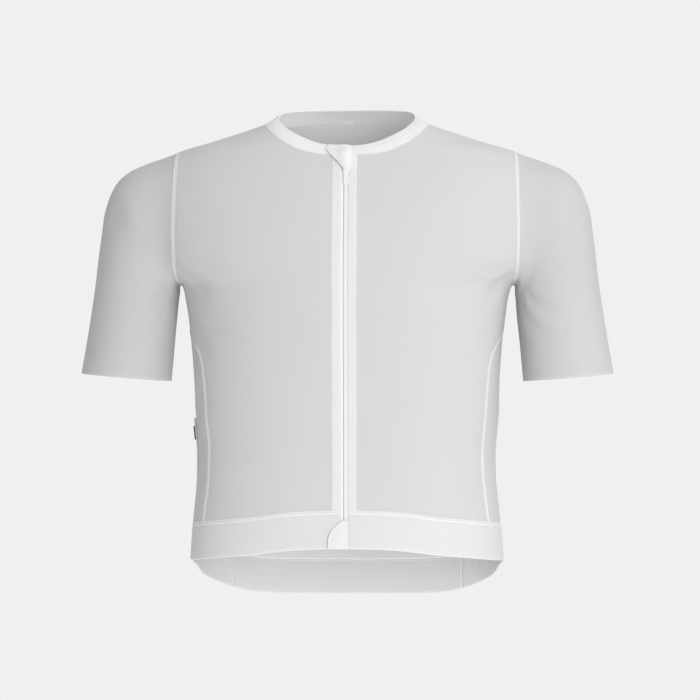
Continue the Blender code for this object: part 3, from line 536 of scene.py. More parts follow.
def shell(name, points, normals, faces, thickness, material, lift=0.0, relief=0.0, inner_relief=0.0, free=None, weave=None, marks=None):
    """A closed thin wall. Free edges, where free is 1, are rounded over; seam edges are not."""
    count = len(points)
    lift = np.broadcast_to(np.asarray(lift, float), (count,))
    relief = np.broadcast_to(np.asarray(relief, float), (count,))
    inner_relief = np.broadcast_to(np.asarray(inner_relief, float), (count,))
    outer = points + normals * (lift + relief)[:, None]
    inner = points + normals * (lift - thickness + inner_relief)[:, None]
    a, b, f = rim(faces)
    middle = points[faces[f]].mean(axis=1)
    along = unit(points[b] - points[a])
    away = (points[a] + points[b]) / 2 - middle
    away = unit(away - (away * along).sum(1, keepdims=True) * along)
    push = np.zeros_like(points)
    np.add.at(push, a, away)
    np.add.at(push, b, away)
    edge = np.unique(np.concatenate([a, b]))
    push = unit(push[edge])
    free = np.zeros(count) if free is None else free
    gap = (outer - inner)[edge]
    rounding = free[edge][:, None] * np.linalg.norm(gap, axis=1, keepdims=True) * 0.5
    # Three rows of points turn the edge: just above, at and just below the middle.
    turns = [inner[edge] + gap * (0.5 + 0.43 * s) + push * rounding * w for s, w in ((0.78, 0.62), (0.0, 1.0), (-0.78, 0.62))]
    place = np.full(count, -1)
    place[edge] = np.arange(len(edge))
    vertices = np.vstack([outer, inner] + turns)
    base = 2 * count + np.arange(3) * len(edge)
    lines = [(a, b)] + [(base[k] + place[a], base[k] + place[b]) for k in range(3)] + [(a + count, b + count)]
    sides = [np.stack([q0, p0, p1, q1], axis=1) for (p0, q0), (p1, q1) in zip(lines, lines[1:])]
    all_faces = np.vstack([faces, faces[:, ::-1] + count] + sides)
    item = build(name, vertices, all_faces, material)

    def spread(values):
        values = np.asarray(values)
        return np.concatenate([values, values] + [values[edge]] * 3)

    for key, values in (marks or {}).items():
        give(item, key, spread(values))
    side = np.concatenate([np.zeros(count), np.ones(count)] + [np.full(len(edge), 0.5)] * 3)
    give(item, "inside", side)
    if weave is not None:
        give_uv(item, spread(weave))
    item["cut_area"] = float(np.linalg.norm(np.cross(points[faces[:, 2]] - points[faces[:, 0]], points[faces[:, 3]] - points[faces[:, 1]]), axis=1).sum() / 2) * MM * MM
    return item


def grid_weave(grid):
    """Distances along the cloth in both directions, in millimetres."""
    across = np.concatenate([np.zeros((len(grid), 1)), np.cumsum(np.linalg.norm(np.diff(grid, axis=1), axis=2), axis=1)], axis=1)
    across -= across[:, :1] * 0
    up = np.concatenate([np.zeros((1, grid.shape[1])), np.cumsum(np.linalg.norm(np.diff(grid, axis=0), axis=2), axis=0)], axis=0)
    return np.stack([across, up], axis=-1).reshape(-1, 2)


def seam_marks(points, seams, wide=1.6):
    """The whiter doubled cloth and the welts along the seams."""
    double, relief = np.zeros(len(points)), np.zeros(len(points))
    near, run = np.full(len(points), 1e3), np.zeros(len(points))
    for line, height in seams:
        d, s = to_line(points, line)
        double = np.maximum(double, 1 - np.clip((d - wide) / 0.9 + 0.5, 0, 1))
        relief += height * (np.exp(-(((d - 1.15) / 0.85) ** 2)) - 0.35 * np.exp(-(((d - 3.4) / 1.2) ** 2)))
        closer = d < near
        near, run = np.where(closer, d, near), np.where(closer, s, run)
    return double, relief, near, run


def stitches(lines, name, material, length=2.1, gap=0.9, thick=0.34, rise=0.02):
    """Short threads laid along lines of (points, normals) on the cloth, all in one mesh."""
    ring = [(1.0, 0.0), (0.0, 1.0), (-1.0, 0.0), (0.0, -1.0)]
    shares, ups, wides = (0.0, 0.2, 0.8, 1.0), (-0.3, 0.45, 0.45, -0.3), (0.35, 1.0, 1.0, 0.35)
    blocks = []
    for points, normals in lines:
        run = np.concatenate([[0.0], np.cumsum(np.linalg.norm(np.diff(points, axis=0), axis=1))])
        starts = np.arange(gap, run[-1] - length, length + gap)
        if not len(starts):
            continue
        at = starts[:, None] + length * np.array(shares)[None]
        p = np.stack([np.interp(at, run, points[:, k]) for k in range(3)], axis=-1)
        n = unit(np.stack([np.interp(at, run, normals[:, k]) for k in range(3)], axis=-1))
        way = unit(p[:, -1] - p[:, 0])[:, None]
        side = unit(np.cross(np.broadcast_to(way, n.shape), n))
        body = []
        for k in range(4):
            for c, v in ring:
                body.append(p[:, k] + n[:, k] * (rise + ups[k] * thick + v * wides[k] * thick / 2) + side[:, k] * c * wides[k] * thick / 2)
        blocks.append(np.stack(body, axis=1))
    vertices = np.concatenate(blocks).reshape(-1, 3)
    one = [(k * 4 + j, k * 4 + (j + 1) % 4, k * 4 + 4 + (j + 1) % 4, k * 4 + 4 + j) for k in range(3) for j in range(4)]
    one += [(3, 2, 1, 0), (12, 13, 14, 15)]
    one = np.array(one)
    count = len(vertices) // 16
    faces = (np.arange(count)[:, None, None] * 16 + one[None]).reshape(-1, 4)
    return build(name, vertices, faces, material)


# ---------------------------------------------------------------- materials
def nodes_of(name):
    material = bpy.data.materials.new(name)
    material.use_nodes = True
    tree = material.node_tree
    tree.nodes.clear()
    return material, tree


def maths(tree, kind, a, b=None, c=None, clamp=False):
    node = tree.nodes.new("ShaderNodeMath")
    node.operation = kind
    node.use_clamp = clamp
    for k, value in enumerate((a, b, c)):
        if value is None:
            continue
        if isinstance(value, (int, float)):
            node.inputs[k].default_value = value
        else:
            tree.links.new(value, node.inputs[k])
    return node.outputs[0]


def mix(tree, factor, a, b, kind="MIX"):
    node = tree.nodes.new("ShaderNodeMix")
    node.data_type = "RGBA"
    node.blend_type = kind
    for socket, value in ((node.inputs[0], factor), (node.inputs[6], a), (node.inputs[7], b)):
        if isinstance(value, (int, float)):
            socket.default_value = value
        elif isinstance(value, tuple):
            socket.default_value = (*value, 1.0)
        else:
            tree.links.new(value, socket)
    return node.outputs[2]


def attribute(tree, name):
    node = tree.nodes.new("ShaderNodeAttribute")
    node.attribute_name = name
    return node.outputs["Fac"]


def noise(tree, scale, detail=2.0, rough=0.5, vector=None):
    node = tree.nodes.new("ShaderNodeTexNoise")
    node.inputs["Scale"].default_value = scale
    node.inputs["Detail"].default_value = detail
    node.inputs["Roughness"].default_value = rough
    if vector is None:
        where = tree.nodes.new("ShaderNodeTexCoord")
        vector = where.outputs["Object"]
    tree.links.new(vector, node.inputs["Vector"])
    return node.outputs["Fac"]


def knit_height(tree, wale, course):
    """Loops of a fine knit: V shapes in upright wales, one above another."""
    uv = tree.nodes.new("ShaderNodeUVMap")
    uv.uv_map = "weave"
    split = tree.nodes.new("ShaderNodeSeparateXYZ")
    tree.links.new(uv.outputs[0], split.inputs[0])
    u = maths(tree, "MULTIPLY", split.outputs[0], 1 / wale)
    v = maths(tree, "MULTIPLY", split.outputs[1], 1 / course)
    lean = maths(tree, "PINGPONG", u, 0.5)
    loop = maths(tree, "ADD", v, maths(tree, "MULTIPLY", lean, 1.1))
    rows = maths(tree, "PINGPONG", loop, 0.5)
    legs = maths(tree, "SINE", maths(tree, "MULTIPLY", lean, 2 * math.pi))
    return maths(tree, "MULTIPLY", maths(tree, "MULTIPLY", rows, 2.0), maths(tree, "ADD", maths(tree, "MULTIPLY", legs, 0.5), 0.5))


def cloth(name, single, doubled, inside=1.0, translucent=0.3, knit=(KNIT_WALE, KNIT_COURSE), bump=0.16, rough=0.82, sheen=0.25):
    """A fine white knit. The doubled cloth along seams and bands lets less light through, and reads whiter. An inside
    factor other than 1 paints the inner face lighter: painted light.
    """
    material, tree = nodes_of(name)
    out = tree.nodes.new("ShaderNodeOutputMaterial")
    shader = tree.nodes.new("ShaderNodeBsdfPrincipled")
    height = knit_height(tree, *knit)
    slow = noise(tree, 9.0, 2.0)
    fine = noise(tree, 420.0, 3.0, 0.6)
    colour = mix(tree, attribute(tree, "double"), single, doubled)
    shade = maths(tree, "ADD", maths(tree, "MULTIPLY", slow, 0.045), 0.9775)
    grain = maths(tree, "ADD", maths(tree, "MULTIPLY", fine, 0.05), 0.975)
    holes = maths(tree, "ADD", maths(tree, "MULTIPLY", height, 0.075), 0.95)
    value = maths(tree, "MULTIPLY", maths(tree, "MULTIPLY", shade, grain), holes)
    # Painted light: the inner face's colour is multiplied by the inside factor, so the back and collar are painted
    # lighter inside where light falls short.
    if inside != 1.0:
        painted_inside_light = maths(tree, "ADD", maths(tree, "MULTIPLY", attribute(tree, "inside"), inside - 1.0), 1.0)
        value = maths(tree, "MULTIPLY", value, painted_inside_light)
    grey = tree.nodes.new("ShaderNodeCombineColor")
    for k in range(3):
        tree.links.new(value, grey.inputs[k])
    colour = mix(tree, 1.0, colour, grey.outputs[0], "MULTIPLY")
    tree.links.new(colour, shader.inputs["Base Color"])
    shader.inputs["Roughness"].default_value = rough
    shader.inputs["Specular IOR Level"].default_value = 0.25
    shader.inputs["Sheen Weight"].default_value = sheen
    shader.inputs["Sheen Roughness"].default_value = 0.45
    relief = maths(tree, "ADD", height, maths(tree, "MULTIPLY", fine, 0.6))
    rough_bump = tree.nodes.new("ShaderNodeBump")
    rough_bump.inputs["Strength"].default_value = bump
    rough_bump.inputs["Distance"].default_value = 0.00025
    tree.links.new(relief, rough_bump.inputs["Height"])
    tree.links.new(rough_bump.outputs[0], shader.inputs["Normal"])
    if translucent:
        through = tree.nodes.new("ShaderNodeBsdfTranslucent")
        tree.links.new(colour, through.inputs["Color"])
        tree.links.new(rough_bump.outputs[0], through.inputs["Normal"])
        both = tree.nodes.new("ShaderNodeMixShader")
        both.inputs[0].default_value = translucent
        tree.links.new(shader.outputs[0], both.inputs[1])
        tree.links.new(through.outputs[0], both.inputs[2])
        tree.links.new(both.outputs[0], out.inputs["Surface"])
    else:
        tree.links.new(shader.outputs[0], out.inputs["Surface"])
    return material


def plain(name, colour, rough, metallic=0.0, scale=300.0, vary=0.06, bump=0.1, coat=0.0):
    material, tree = nodes_of(name)
    out = tree.nodes.new("ShaderNodeOutputMaterial")
    shader = tree.nodes.new("ShaderNodeBsdfPrincipled")
    grain = noise(tree, scale, 4.0, 0.6)
    value = maths(tree, "ADD", maths(tree, "MULTIPLY", grain, vary), 1 - vary / 2)
    grey = tree.nodes.new("ShaderNodeCombineColor")
    for k in range(3):
        tree.links.new(value, grey.inputs[k])
    tree.links.new(mix(tree, 1.0, colour, grey.outputs[0], "MULTIPLY"), shader.inputs["Base Color"])
    tree.links.new(maths(tree, "ADD", maths(tree, "MULTIPLY", grain, 0.12), rough - 0.06), shader.inputs["Roughness"])
    shader.inputs["Metallic"].default_value = metallic
    shader.inputs["Coat Weight"].default_value = coat
    lift = tree.nodes.new("ShaderNodeBump")
    lift.inputs["Strength"].default_value = bump
    lift.inputs["Distance"].default_value = 0.0002
    tree.links.new(grain, lift.inputs["Height"])
    tree.links.new(lift.outputs[0], shader.inputs["Normal"])
    tree.links.new(shader.outputs[0], out.inputs["Surface"])
    return material


KNIT = cloth("white_knit", (0.70, 0.70, 0.705), (0.86, 0.86, 0.86))
# Painted light: the back's inner face is painted lighter (inside 1.3).
BACK_KNIT = cloth("white_back_knit", (0.71, 0.71, 0.715), (0.86, 0.86, 0.86), inside=1.3, translucent=0.36)
SLEEVE_KNIT = cloth("white_sleeve_knit", (0.655, 0.655, 0.66), (0.86, 0.86, 0.86))
BAND_KNIT = cloth("white_band", (0.735, 0.735, 0.735), (0.86, 0.86, 0.86), translucent=0.22, knit=(1.3, 0.9), bump=0.2)
TAIL_KNIT = cloth("white_tail_band", (0.76, 0.76, 0.76), (0.88, 0.88, 0.88), translucent=0.3, knit=(1.3, 0.9), bump=0.2)
# Painted light: the collar's inner face is painted a little lighter (inside 1.06).
COLLAR_KNIT = cloth("white_collar", (0.88, 0.88, 0.88), (0.90, 0.90, 0.90), inside=1.06, translucent=0.3, knit=(1.1, 0.8), bump=0.15)
FLAP_KNIT = cloth("white_flap", (0.79, 0.79, 0.79), (0.83, 0.83, 0.83), translucent=0.2, knit=(1.1, 0.8), bump=0.15)
TAPE_CLOTH = cloth("woven_tape", (0.78, 0.78, 0.78), (0.82, 0.82, 0.82), translucent=0.15, knit=(0.5, 0.5), bump=0.12)
THREAD = plain("white_thread", (0.86, 0.86, 0.86), 0.7, scale=900.0)
# Painted shade: the coil is a dark grey, darker than the zip's own coil, so the gap between the tapes shows as a dark
# line.
COIL_PAINTED_SHADE = plain("zip_coil_painted_shade", (0.20, 0.20, 0.205), 0.45, scale=500.0)
METAL = plain("zip_metal", (0.10, 0.10, 0.105), 0.38, metallic=0.7, scale=600.0, vary=0.3, bump=0.15)

# ---------------------------------------------------------------- seam lines at the fine step, on the wearer's left
FRONT_ARMHOLE, BACK_ARMHOLE = armhole_half(True), armhole_half(False)
SIDE_FROM, SIDE_TO = SIDE_TOP
LOW_ROWS, NECK_ROWS, BACK_NECK_ROWS = 9, 6, 5
FRONT_SEAM = side_seam("front_seam", BACK_ARMHOLE[SIDE_FROM * K], LOW_ROWS * K)
BACK_SEAM = side_seam("back_seam", BACK_ARMHOLE[SIDE_TO * K], LOW_ROWS * K)
FRONT_NECK, BACK_NECK = neck_seam(True, NECK_ROWS * K), neck_seam(False, BACK_NECK_ROWS * K)
FRONT_EDGE = np.vstack([FRONT_SEAM, BACK_ARMHOLE[SIDE_FROM * K - 1 : 0 : -1], FRONT_ARMHOLE])
BACK_EDGE = np.vstack([BACK_SEAM, BACK_ARMHOLE[SIDE_TO * K + 1 :]])
FRONT_ROWS, BACK_ROWS = (len(FRONT_EDGE) - 1) // K, (len(BACK_EDGE) - 1) // K
ZIP_ROWS, CENTRE_ROWS = FRONT_ROWS - NECK_ROWS, BACK_ROWS - BACK_NECK_ROWS
ARMHOLE_LINE = np.vstack([FRONT_ARMHOLE[::-1], BACK_ARMHOLE[1:]])

low = seam_at_hem(x=ZIP_OPENING, ahead=True)
share = read(CENTRE, CENTRE_COLUMNS, "height_share", np.arange(ZIP_ROWS * K + 1) / (ZIP_ROWS * K))
heights = low[2] + share * (FRONT_NECK[0, 2] - low[2])
ZIP_EDGE = np.stack([np.full_like(heights, ZIP_OPENING), depth_at(ZIP_OPENING, heights, True), heights], axis=1)
ZIP_EDGE[-1] = FRONT_NECK[0]
low = seam_at_hem(x=0.0, ahead=False)
heights = np.linspace(low[2], BACK_NECK[0, 2], CENTRE_ROWS * K + 1)
CENTRE_BACK = np.stack([np.zeros_like(heights), depth_at(0.0, heights, False), heights], axis=1)
CENTRE_BACK[-1] = BACK_NECK[0]


def with_step(steps, value):
    """The steps with this one among them, in place of its nearest."""
    steps = steps.copy()
    steps[np.argmin(np.abs(steps - value))] = value
    return steps


def settle(grid, high=6.0):
    """The grid's inner points, dropped exactly onto the form."""
    inner = grid[1:-1, 1:-1] if False else grid
    n = normal(inner)
    a, b = np.full(inner.shape[:-1], -high), np.full(inner.shape[:-1], high)
    for _ in range(22):
        middle = (a + b) / 2
        inside = excess(inner + middle[..., None] * n) < 0
        a, b = np.where(inside, middle, a), np.where(inside, b, middle)
    out = inner + ((a + b) / 2)[..., None] * n
    out[:, 0], out[:, -1] = grid[:, 0], grid[:, -1]
    return out


COARSE = 1.0

front_r = with_step(steps_between(True, True, 400.0, 0.5, 2.1 * COARSE) * FRONT_ROWS, float(ZIP_ROWS))
front_c = steps_between(True, True, 200.0, 0.5, 2.0 * COARSE)
left = np.vstack([ZIP_EDGE, FRONT_NECK[1:]])
FRONT = settle(fan(at_steps(left, front_r), at_steps(FRONT_EDGE, front_r), front_c, front_r))

side_r = steps_between(True, True, 225.0, 0.5, 2.4 * COARSE) * LOW_ROWS
side_c = steps_between(True, True, 74.0, 0.5, 2.4 * COARSE)
SIDE_GRID = fan(at_steps(FRONT_SEAM, side_r), at_steps(BACK_SEAM, side_r), side_c, side_r)
top = respace(BACK_ARMHOLE[SIDE_FROM * K : SIDE_TO * K + 1], side_c)
ease = np.clip((side_r - 6.0) / 3.0, 0, 1) ** 2
SIDE_GRID = SIDE_GRID + ease[:, None, None] * (top - SIDE_GRID[-1])[None]
SIDE_GRID = settle(SIDE_GRID, 8.0)
SIDE_GRID[-1] = top

back_r = with_step(steps_between(True, True, 470.0, 0.5, 2.5 * COARSE) * BACK_ROWS, float(CENTRE_ROWS))
back_r = with_step(back_r, float(POCKET_ROWS))
back_c = with_step(steps_between(False, True, 195.0, 0.5, 2.3 * COARSE), POCKET_SPLIT / 7)
left = np.vstack([CENTRE_BACK, BACK_NECK[1:]])
HALF = settle(fan(at_steps(left, back_r), at_steps(BACK_EDGE, back_r), back_c, back_r))


# ---------------------------------------------------------------- the sleeve
def sleeve_loop(front, back):
    return np.vstack([front[::-1], back[1:-1]])


def sleeve_ring(row, segments):
    outer_x, outer_z, inner_x, inner_z, front, back, power = row
    inner, outer = np.array([inner_x, 0.0, inner_z]), np.array([outer_x, 0.0, outer_z])
    middle, reach = (inner + outer) / 2, (outer - inner) / 2
    turn = np.linspace(0, math.pi, 900)
    along = -np.sign(np.cos(turn)) * np.abs(np.cos(turn)) ** (2 / power)
    out = np.abs(np.sin(turn)) ** (2 / power)
    halves = []
    for depth in (-front, back):
        fine = middle + along[:, None] * reach + (out * depth)[:, None] * np.array([0.0, 1.0, 0.0])
        halves.append(respace(fine, (np.arange(segments + 1) / segments) ** ARMHOLE_SPREAD))
    return halves


def sleeve_grid():
    around_steps = 6
    segments = ARMHOLE_SEGMENTS * around_steps
    pick = np.arange(segments + 1) / around_steps
    start = sleeve_loop(at_steps(FRONT_ARMHOLE, pick), at_steps(BACK_ARMHOLE, pick))
    rings = [start] + [sleeve_loop(*sleeve_ring(row, segments)) for row in SLEEVE]
    around = np.roll(start, -1, axis=0) - np.roll(start, 1, axis=0)
    leave = unit(np.cross(normal(start), unit(around)))
    leave *= np.sign(leave[:, :1] + 1e-9)
    leave[:, 2] = np.where(start[:, 2] < -120, np.minimum(leave[:, 2], 0.0), leave[:, 2])
    leave = unit(leave)
    for _ in range(3):
        leave = unit(leave + 0.5 * (np.roll(leave, 1, axis=0) + np.roll(leave, -1, axis=0)))
    gaps = [np.linalg.norm(b - a, axis=1) for a, b in zip(rings, rings[1:])]
    tangents = [leave * (gaps[0] * SHOULDER_REACH)[:, None]]
    for k in range(1, len(rings) - 1):
        before, after = gaps[k - 1][:, None], gaps[k][:, None]
        tangents.append(((rings[k] - rings[k - 1]) / before * after + (rings[k + 1] - rings[k]) / after * before) / (before + after))
    tangents.append((rings[-1] - rings[-2]) / gaps[-1][:, None])
    lines = [start]
    for k in range(len(rings) - 1):
        mean = float(gaps[k].mean())
        step = 2.4 * COARSE
        if k == 0:
            ts = steps_between(True, False, mean, 0.5, step)[1:]
        elif k == len(rings) - 2:
            ts = steps_between(False, True, mean, 0.7, step)[1:]
        else:
            ts = np.linspace(0, 1, max(int(mean / step), 3) + 1)[1:]
        for t in ts:
            span = gaps[k][:, None]
            m0 = tangents[k] if k == 0 else tangents[k] * span
            m1 = tangents[k + 1] * span
            lines.append(
                rings[k] * (1 + 2 * t) * (1 - t) ** 2 + m0 * t * (1 - t) ** 2 + rings[k + 1] * t * t * (3 - 2 * t) + m1 * t * t * (t - 1)
            )
    return np.stack(lines)


SLEEVE_LINES = sleeve_grid()

# ---------------------------------------------------------------- hem and collar
columns = [("front", FRONT[0]), ("side", SIDE_GRID[0][1:]), ("back", HALF[0][::-1][1:])]
HEM_LINE = np.vstack([c for _, c in columns])


def hem_point(p):
    reach = float(trunk("front", p[2]) if p[1] < 0 else trunk("back", p[2]))
    share = p[1] / reach
    z = float(read(HEM, HEM_COLUMNS, "height", share))
    if abs(share) > 0.6:
        x = p[0] * float(trunk("half_width", z) / trunk("half_width", p[2]))
        return np.array([x, float(depth_at(x, z, p[1] < 0)), z])
    return side_point(z, share * float(trunk("front", z) if p[1] < 0 else trunk("back", z)))


HEM_DOWN = np.array([hem_point(p) for p in HEM_LINE])
hem_s = steps_between(True, True, HEM_BAND, 0.6, 1.9 * COARSE)
HEM_GRID = HEM_DOWN[None] * (1 - hem_s[:, None, None]) + HEM_LINE[None] * hem_s[:, None, None]
HEM_GRID[1:-1] = settle(HEM_GRID[1:-1], 10.0)
# settle keeps the grid's end columns; these are put on the form too.
for j in (0, -1):
    edge = HEM_GRID[1:-1, j]
    HEM_GRID[1:-1, j] = np.stack([edge[:, 0], depth_at(edge[:, 0], edge[:, 2], j == 0), edge[:, 2]], axis=1)
HEM_SPLIT = len(FRONT[0]) + len(SIDE_GRID[0]) - 2 + int(np.argmin(np.abs(HALF[0][::-1][:, 0] - HEM_BACK_HALF_WIDTH)))


def rim_line(seam):
    out = []
    for x, y, _ in seam:
        reach, rim_y = (NECK_FRONT, RIM_FRONT) if y < 0 else (NECK_BACK, RIM_BACK)
        u, v = abs(x) / NECK_HALF_WIDTH, abs(y) / reach
        angle = math.atan2(u ** (NECK_POWER / 2), v ** (NECK_POWER / 2))
        rx = RIM_HALF_WIDTH * math.sin(angle) ** (2 / RIM_POWER)
        ry = rim_y * math.cos(angle) ** (2 / RIM_POWER)
        rx = max(rx, ZIP_OPENING) if y < 0 else rx
        ry = -ry if y < 0 else ry
        out.append((math.copysign(rx, x) if abs(x) > 1e-6 else 0.0, ry, float(read(RIM, RIM_COLUMNS, "height", ry))))
    out = np.array(out)
    out[0, 0], out[-1, 0] = math.copysign(ZIP_OPENING, seam[0][0]), math.copysign(ZIP_OPENING, seam[-1][0])
    return out


every = 2
seam_f, seam_b = FRONT_NECK[::every], BACK_NECK[::every]
NECK_LINE = np.vstack([mirrored(seam_f), mirrored(seam_b[::-1])[1:], seam_b[1:], seam_f[::-1][1:]])
NECK_TURN = rim_line(NECK_LINE)
# Take the corners out of the upper edge.
for _ in range(6):
    NECK_TURN[1:-1] = 0.5 * NECK_TURN[1:-1] + 0.25 * (NECK_TURN[2:] + NECK_TURN[:-2])

# ---------------------------------------------------------------- what the trunk's pieces share
FRONT_ZIP_FADE = (5.0, 26.0)


def snapped(table, cloud, samples=14):
    """Each crease as a bowed line on the cloth."""
    out = []
    for k, (start, end, depth, width) in enumerate(table):
        t = np.linspace(0, 1, samples)[:, None]
        a, b = np.array(start, float), np.array(end, float)
        line = a * (1 - t) + b * t
        bow = np.cross(b - a, unit(line.mean(0) - np.array([line.mean(0)[0] * 0.6, 0, line.mean(0)[2]])))
        line = line + unit(bow) * (np.sin(np.pi * t) * np.linalg.norm(b - a) * (0.07 if k % 2 else -0.06))
        line = np.array([cloud[np.argmin(((cloud - p) ** 2).sum(1))] for p in line])
        for _ in range(2):
            line[1:-1] = 0.5 * line[1:-1] + 0.25 * (line[2:] + line[:-2])
        out.append((line, depth, width))
    return out


def crease_lift(points, lines):
    out = np.zeros(len(points))
    for line, depth, width in lines:
        near = np.linalg.norm(points - line.mean(0), axis=1) < np.linalg.norm(line[-1] - line[0]) * 0.6 + 5 * width
        if not near.any():
            continue
        d, s = to_line(points[near], line)
        t = s / max(np.linalg.norm(np.diff(line, axis=0), axis=1).sum(), 1e-6)
        end = np.clip(np.minimum(t, 1 - t) * 4.0, 0.0, 1.0)
        depth_here = depth * (0.35 + 0.65 * np.sin(np.pi * np.clip(t * 0.8 + 0.2, 0, 1))) * np.clip(end + 0.15, 0, 1)
        wide = width * (0.75 + 0.5 * t)
        out[near] += depth_here * (-np.exp(-((d / wide) ** 2)) + 0.4 * np.exp(-(((d - 1.9 * wide) / wide) ** 2)))
    return out


def soft(x):
    x = np.clip(x, 0, 1)
    return x * x * (3 - 2 * x)


TRUNK_CLOUD = np.vstack([flat(g[::3, ::3]) for g in (FRONT, SIDE_GRID, HALF)])
TRUNK_CLOUD = np.vstack([TRUNK_CLOUD, mirrored(TRUNK_CLOUD)])
TRUNK_CREASES = snapped(CREASES, TRUNK_CLOUD)
SLEEVE_CLOUD = flat(SLEEVE_LINES[::2, ::2])
SLEEVE_CLOUD = np.vstack([SLEEVE_CLOUD, mirrored(SLEEVE_CLOUD)])
ARM_CREASES = snapped(SLEEVE_CREASES, SLEEVE_CLOUD)


def armhole_fade(points):
    d, _ = to_line(np.abs(points) * [1, 0, 0] + points * [0, 1, 1], ARMHOLE_LINE)
    return d, soft((d - 1.5) / 8.0)


def trunk_lift(points):
    _, fade = armhole_fade(points)
    ahead = points[:, 1] < 0
    zip_fade = np.where(ahead, soft((np.abs(points[:, 0]) - FRONT_ZIP_FADE[0]) / (FRONT_ZIP_FADE[1] - FRONT_ZIP_FADE[0])), 1.0)
    neck = soft((12.0 - points[:, 2]) / 40.0)
    slow = 0.55 * drift(points, 105.0, 3) + 0.28 * drift(points * [1, 1, 1.6], 48.0, 8)
    # The tail's elastic gathers the cloth a little above it.
    tail = np.clip(1 - (points[:, 2] + 448.0) / 16.0, 0, 1) * np.clip((points[:, 2] + 452) / 3.0, 0, 1) * (points[:, 1] > 60)
    uneven = 0.5 + 0.5 * np.sin(points[:, 0] * 0.045 + 1.0) + 0.6 * np.clip((-points[:, 0] - 55) / 30, 0, 1) * np.clip((135 + points[:, 0]) / 20, 0, 1)
    gather = 0.42 * np.sin(points[:, 0] * 2 * math.pi / 7.3 + 1.7 * np.sin(points[:, 0] * 0.11)) * tail * uneven
    return (crease_lift(points, TRUNK_CREASES) + slow) * fade * zip_fade * neck + gather


def sleeve_lift(points, cuff_gap):
    _, fade = armhole_fade(points)
    slow = 0.5 * drift(points, 90.0, 5) + 0.22 * drift(points, 42.0, 12)
    return (crease_lift(points, ARM_CREASES) + slow) * fade


def joined_halves(grid, centre_rows):
    """Both halves of the back as one piece, welded down the centre as far as the neck."""
    a, b = grid[:, ::-1], mirrored(grid)
    points = np.vstack([flat(a), flat(b)])
    faces = np.vstack([quads(len(grid) - 1, grid.shape[1] - 1), quads(len(grid) - 1, grid.shape[1] - 1) + grid.shape[0] * grid.shape[1]])
    at = np.arange(len(points))
    width = grid.shape[1]
    offset = grid.shape[0] * width
    for i in range(centre_rows + 1):
        at[offset + i * width] = i * width + width - 1
    keep = np.unique(at)
    new = np.full(len(points), -1)
    new[keep] = np.arange(len(keep))
    return points, faces, at, keep, new


CUTS = {}


def sheet(item):
    """Each piece was cut nearly to the size it has on the form: the knit is stretched a little, and lies without gathers."""
    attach(item, "jersey")
    CUTS[item.name] = item["cut_area"]
    return item


def sided(points, normals, faces, left):
    if left:
        return points, normals, faces
    return mirrored(points), mirrored(normals), faces[:, ::-1]


def on_side(line, left):
    return line if left else mirrored(line)


THREADS = []


def inset(grid, edge, away):
    """The line on the cloth that lies this far in from one edge of its grid."""
    lines = {"first_row": grid.transpose(1, 0, 2), "last_row": grid[::-1].transpose(1, 0, 2), "first_column": grid, "last_column": grid[:, ::-1]}[edge]
    out = []
    for line in lines:
        run = np.concatenate([[0.0], np.cumsum(np.linalg.norm(np.diff(line[:, :3], axis=0), axis=1))])
        if run[-1] > away:
            out.append([np.interp(away, run, line[:, k]) for k in range(6)])
    return np.array(out)


def sew(shape, points, normals, heights, edges):
    """Rows of stitches along edges of a piece, on its own raised surface: (edge, how far in, from share, to share)."""
    grid = np.concatenate([points + normals * np.asarray(heights)[:, None], normals], axis=1).reshape(*shape, 6)
    for edge, away, start, end in edges:
        line = inset(grid, edge, away)
        line = line[int(start * (len(line) - 1)) : int(end * (len(line) - 1)) + 1]
        if len(line) > 3:
            THREADS.append((line[:, :3], unit(line[:, 3:])))


# Fronts, sides and the back.
EDGE = {
    "armhole": ARMHOLE_LINE,
    "front_seam": FRONT_SEAM,
    "back_seam": BACK_SEAM,
    "front_neck": FRONT_NECK,
    "back_neck": BACK_NECK,
    "hem": HEM_LINE,
}
BAND_WIDE = 8.0  # the doubled cloth beside the zip

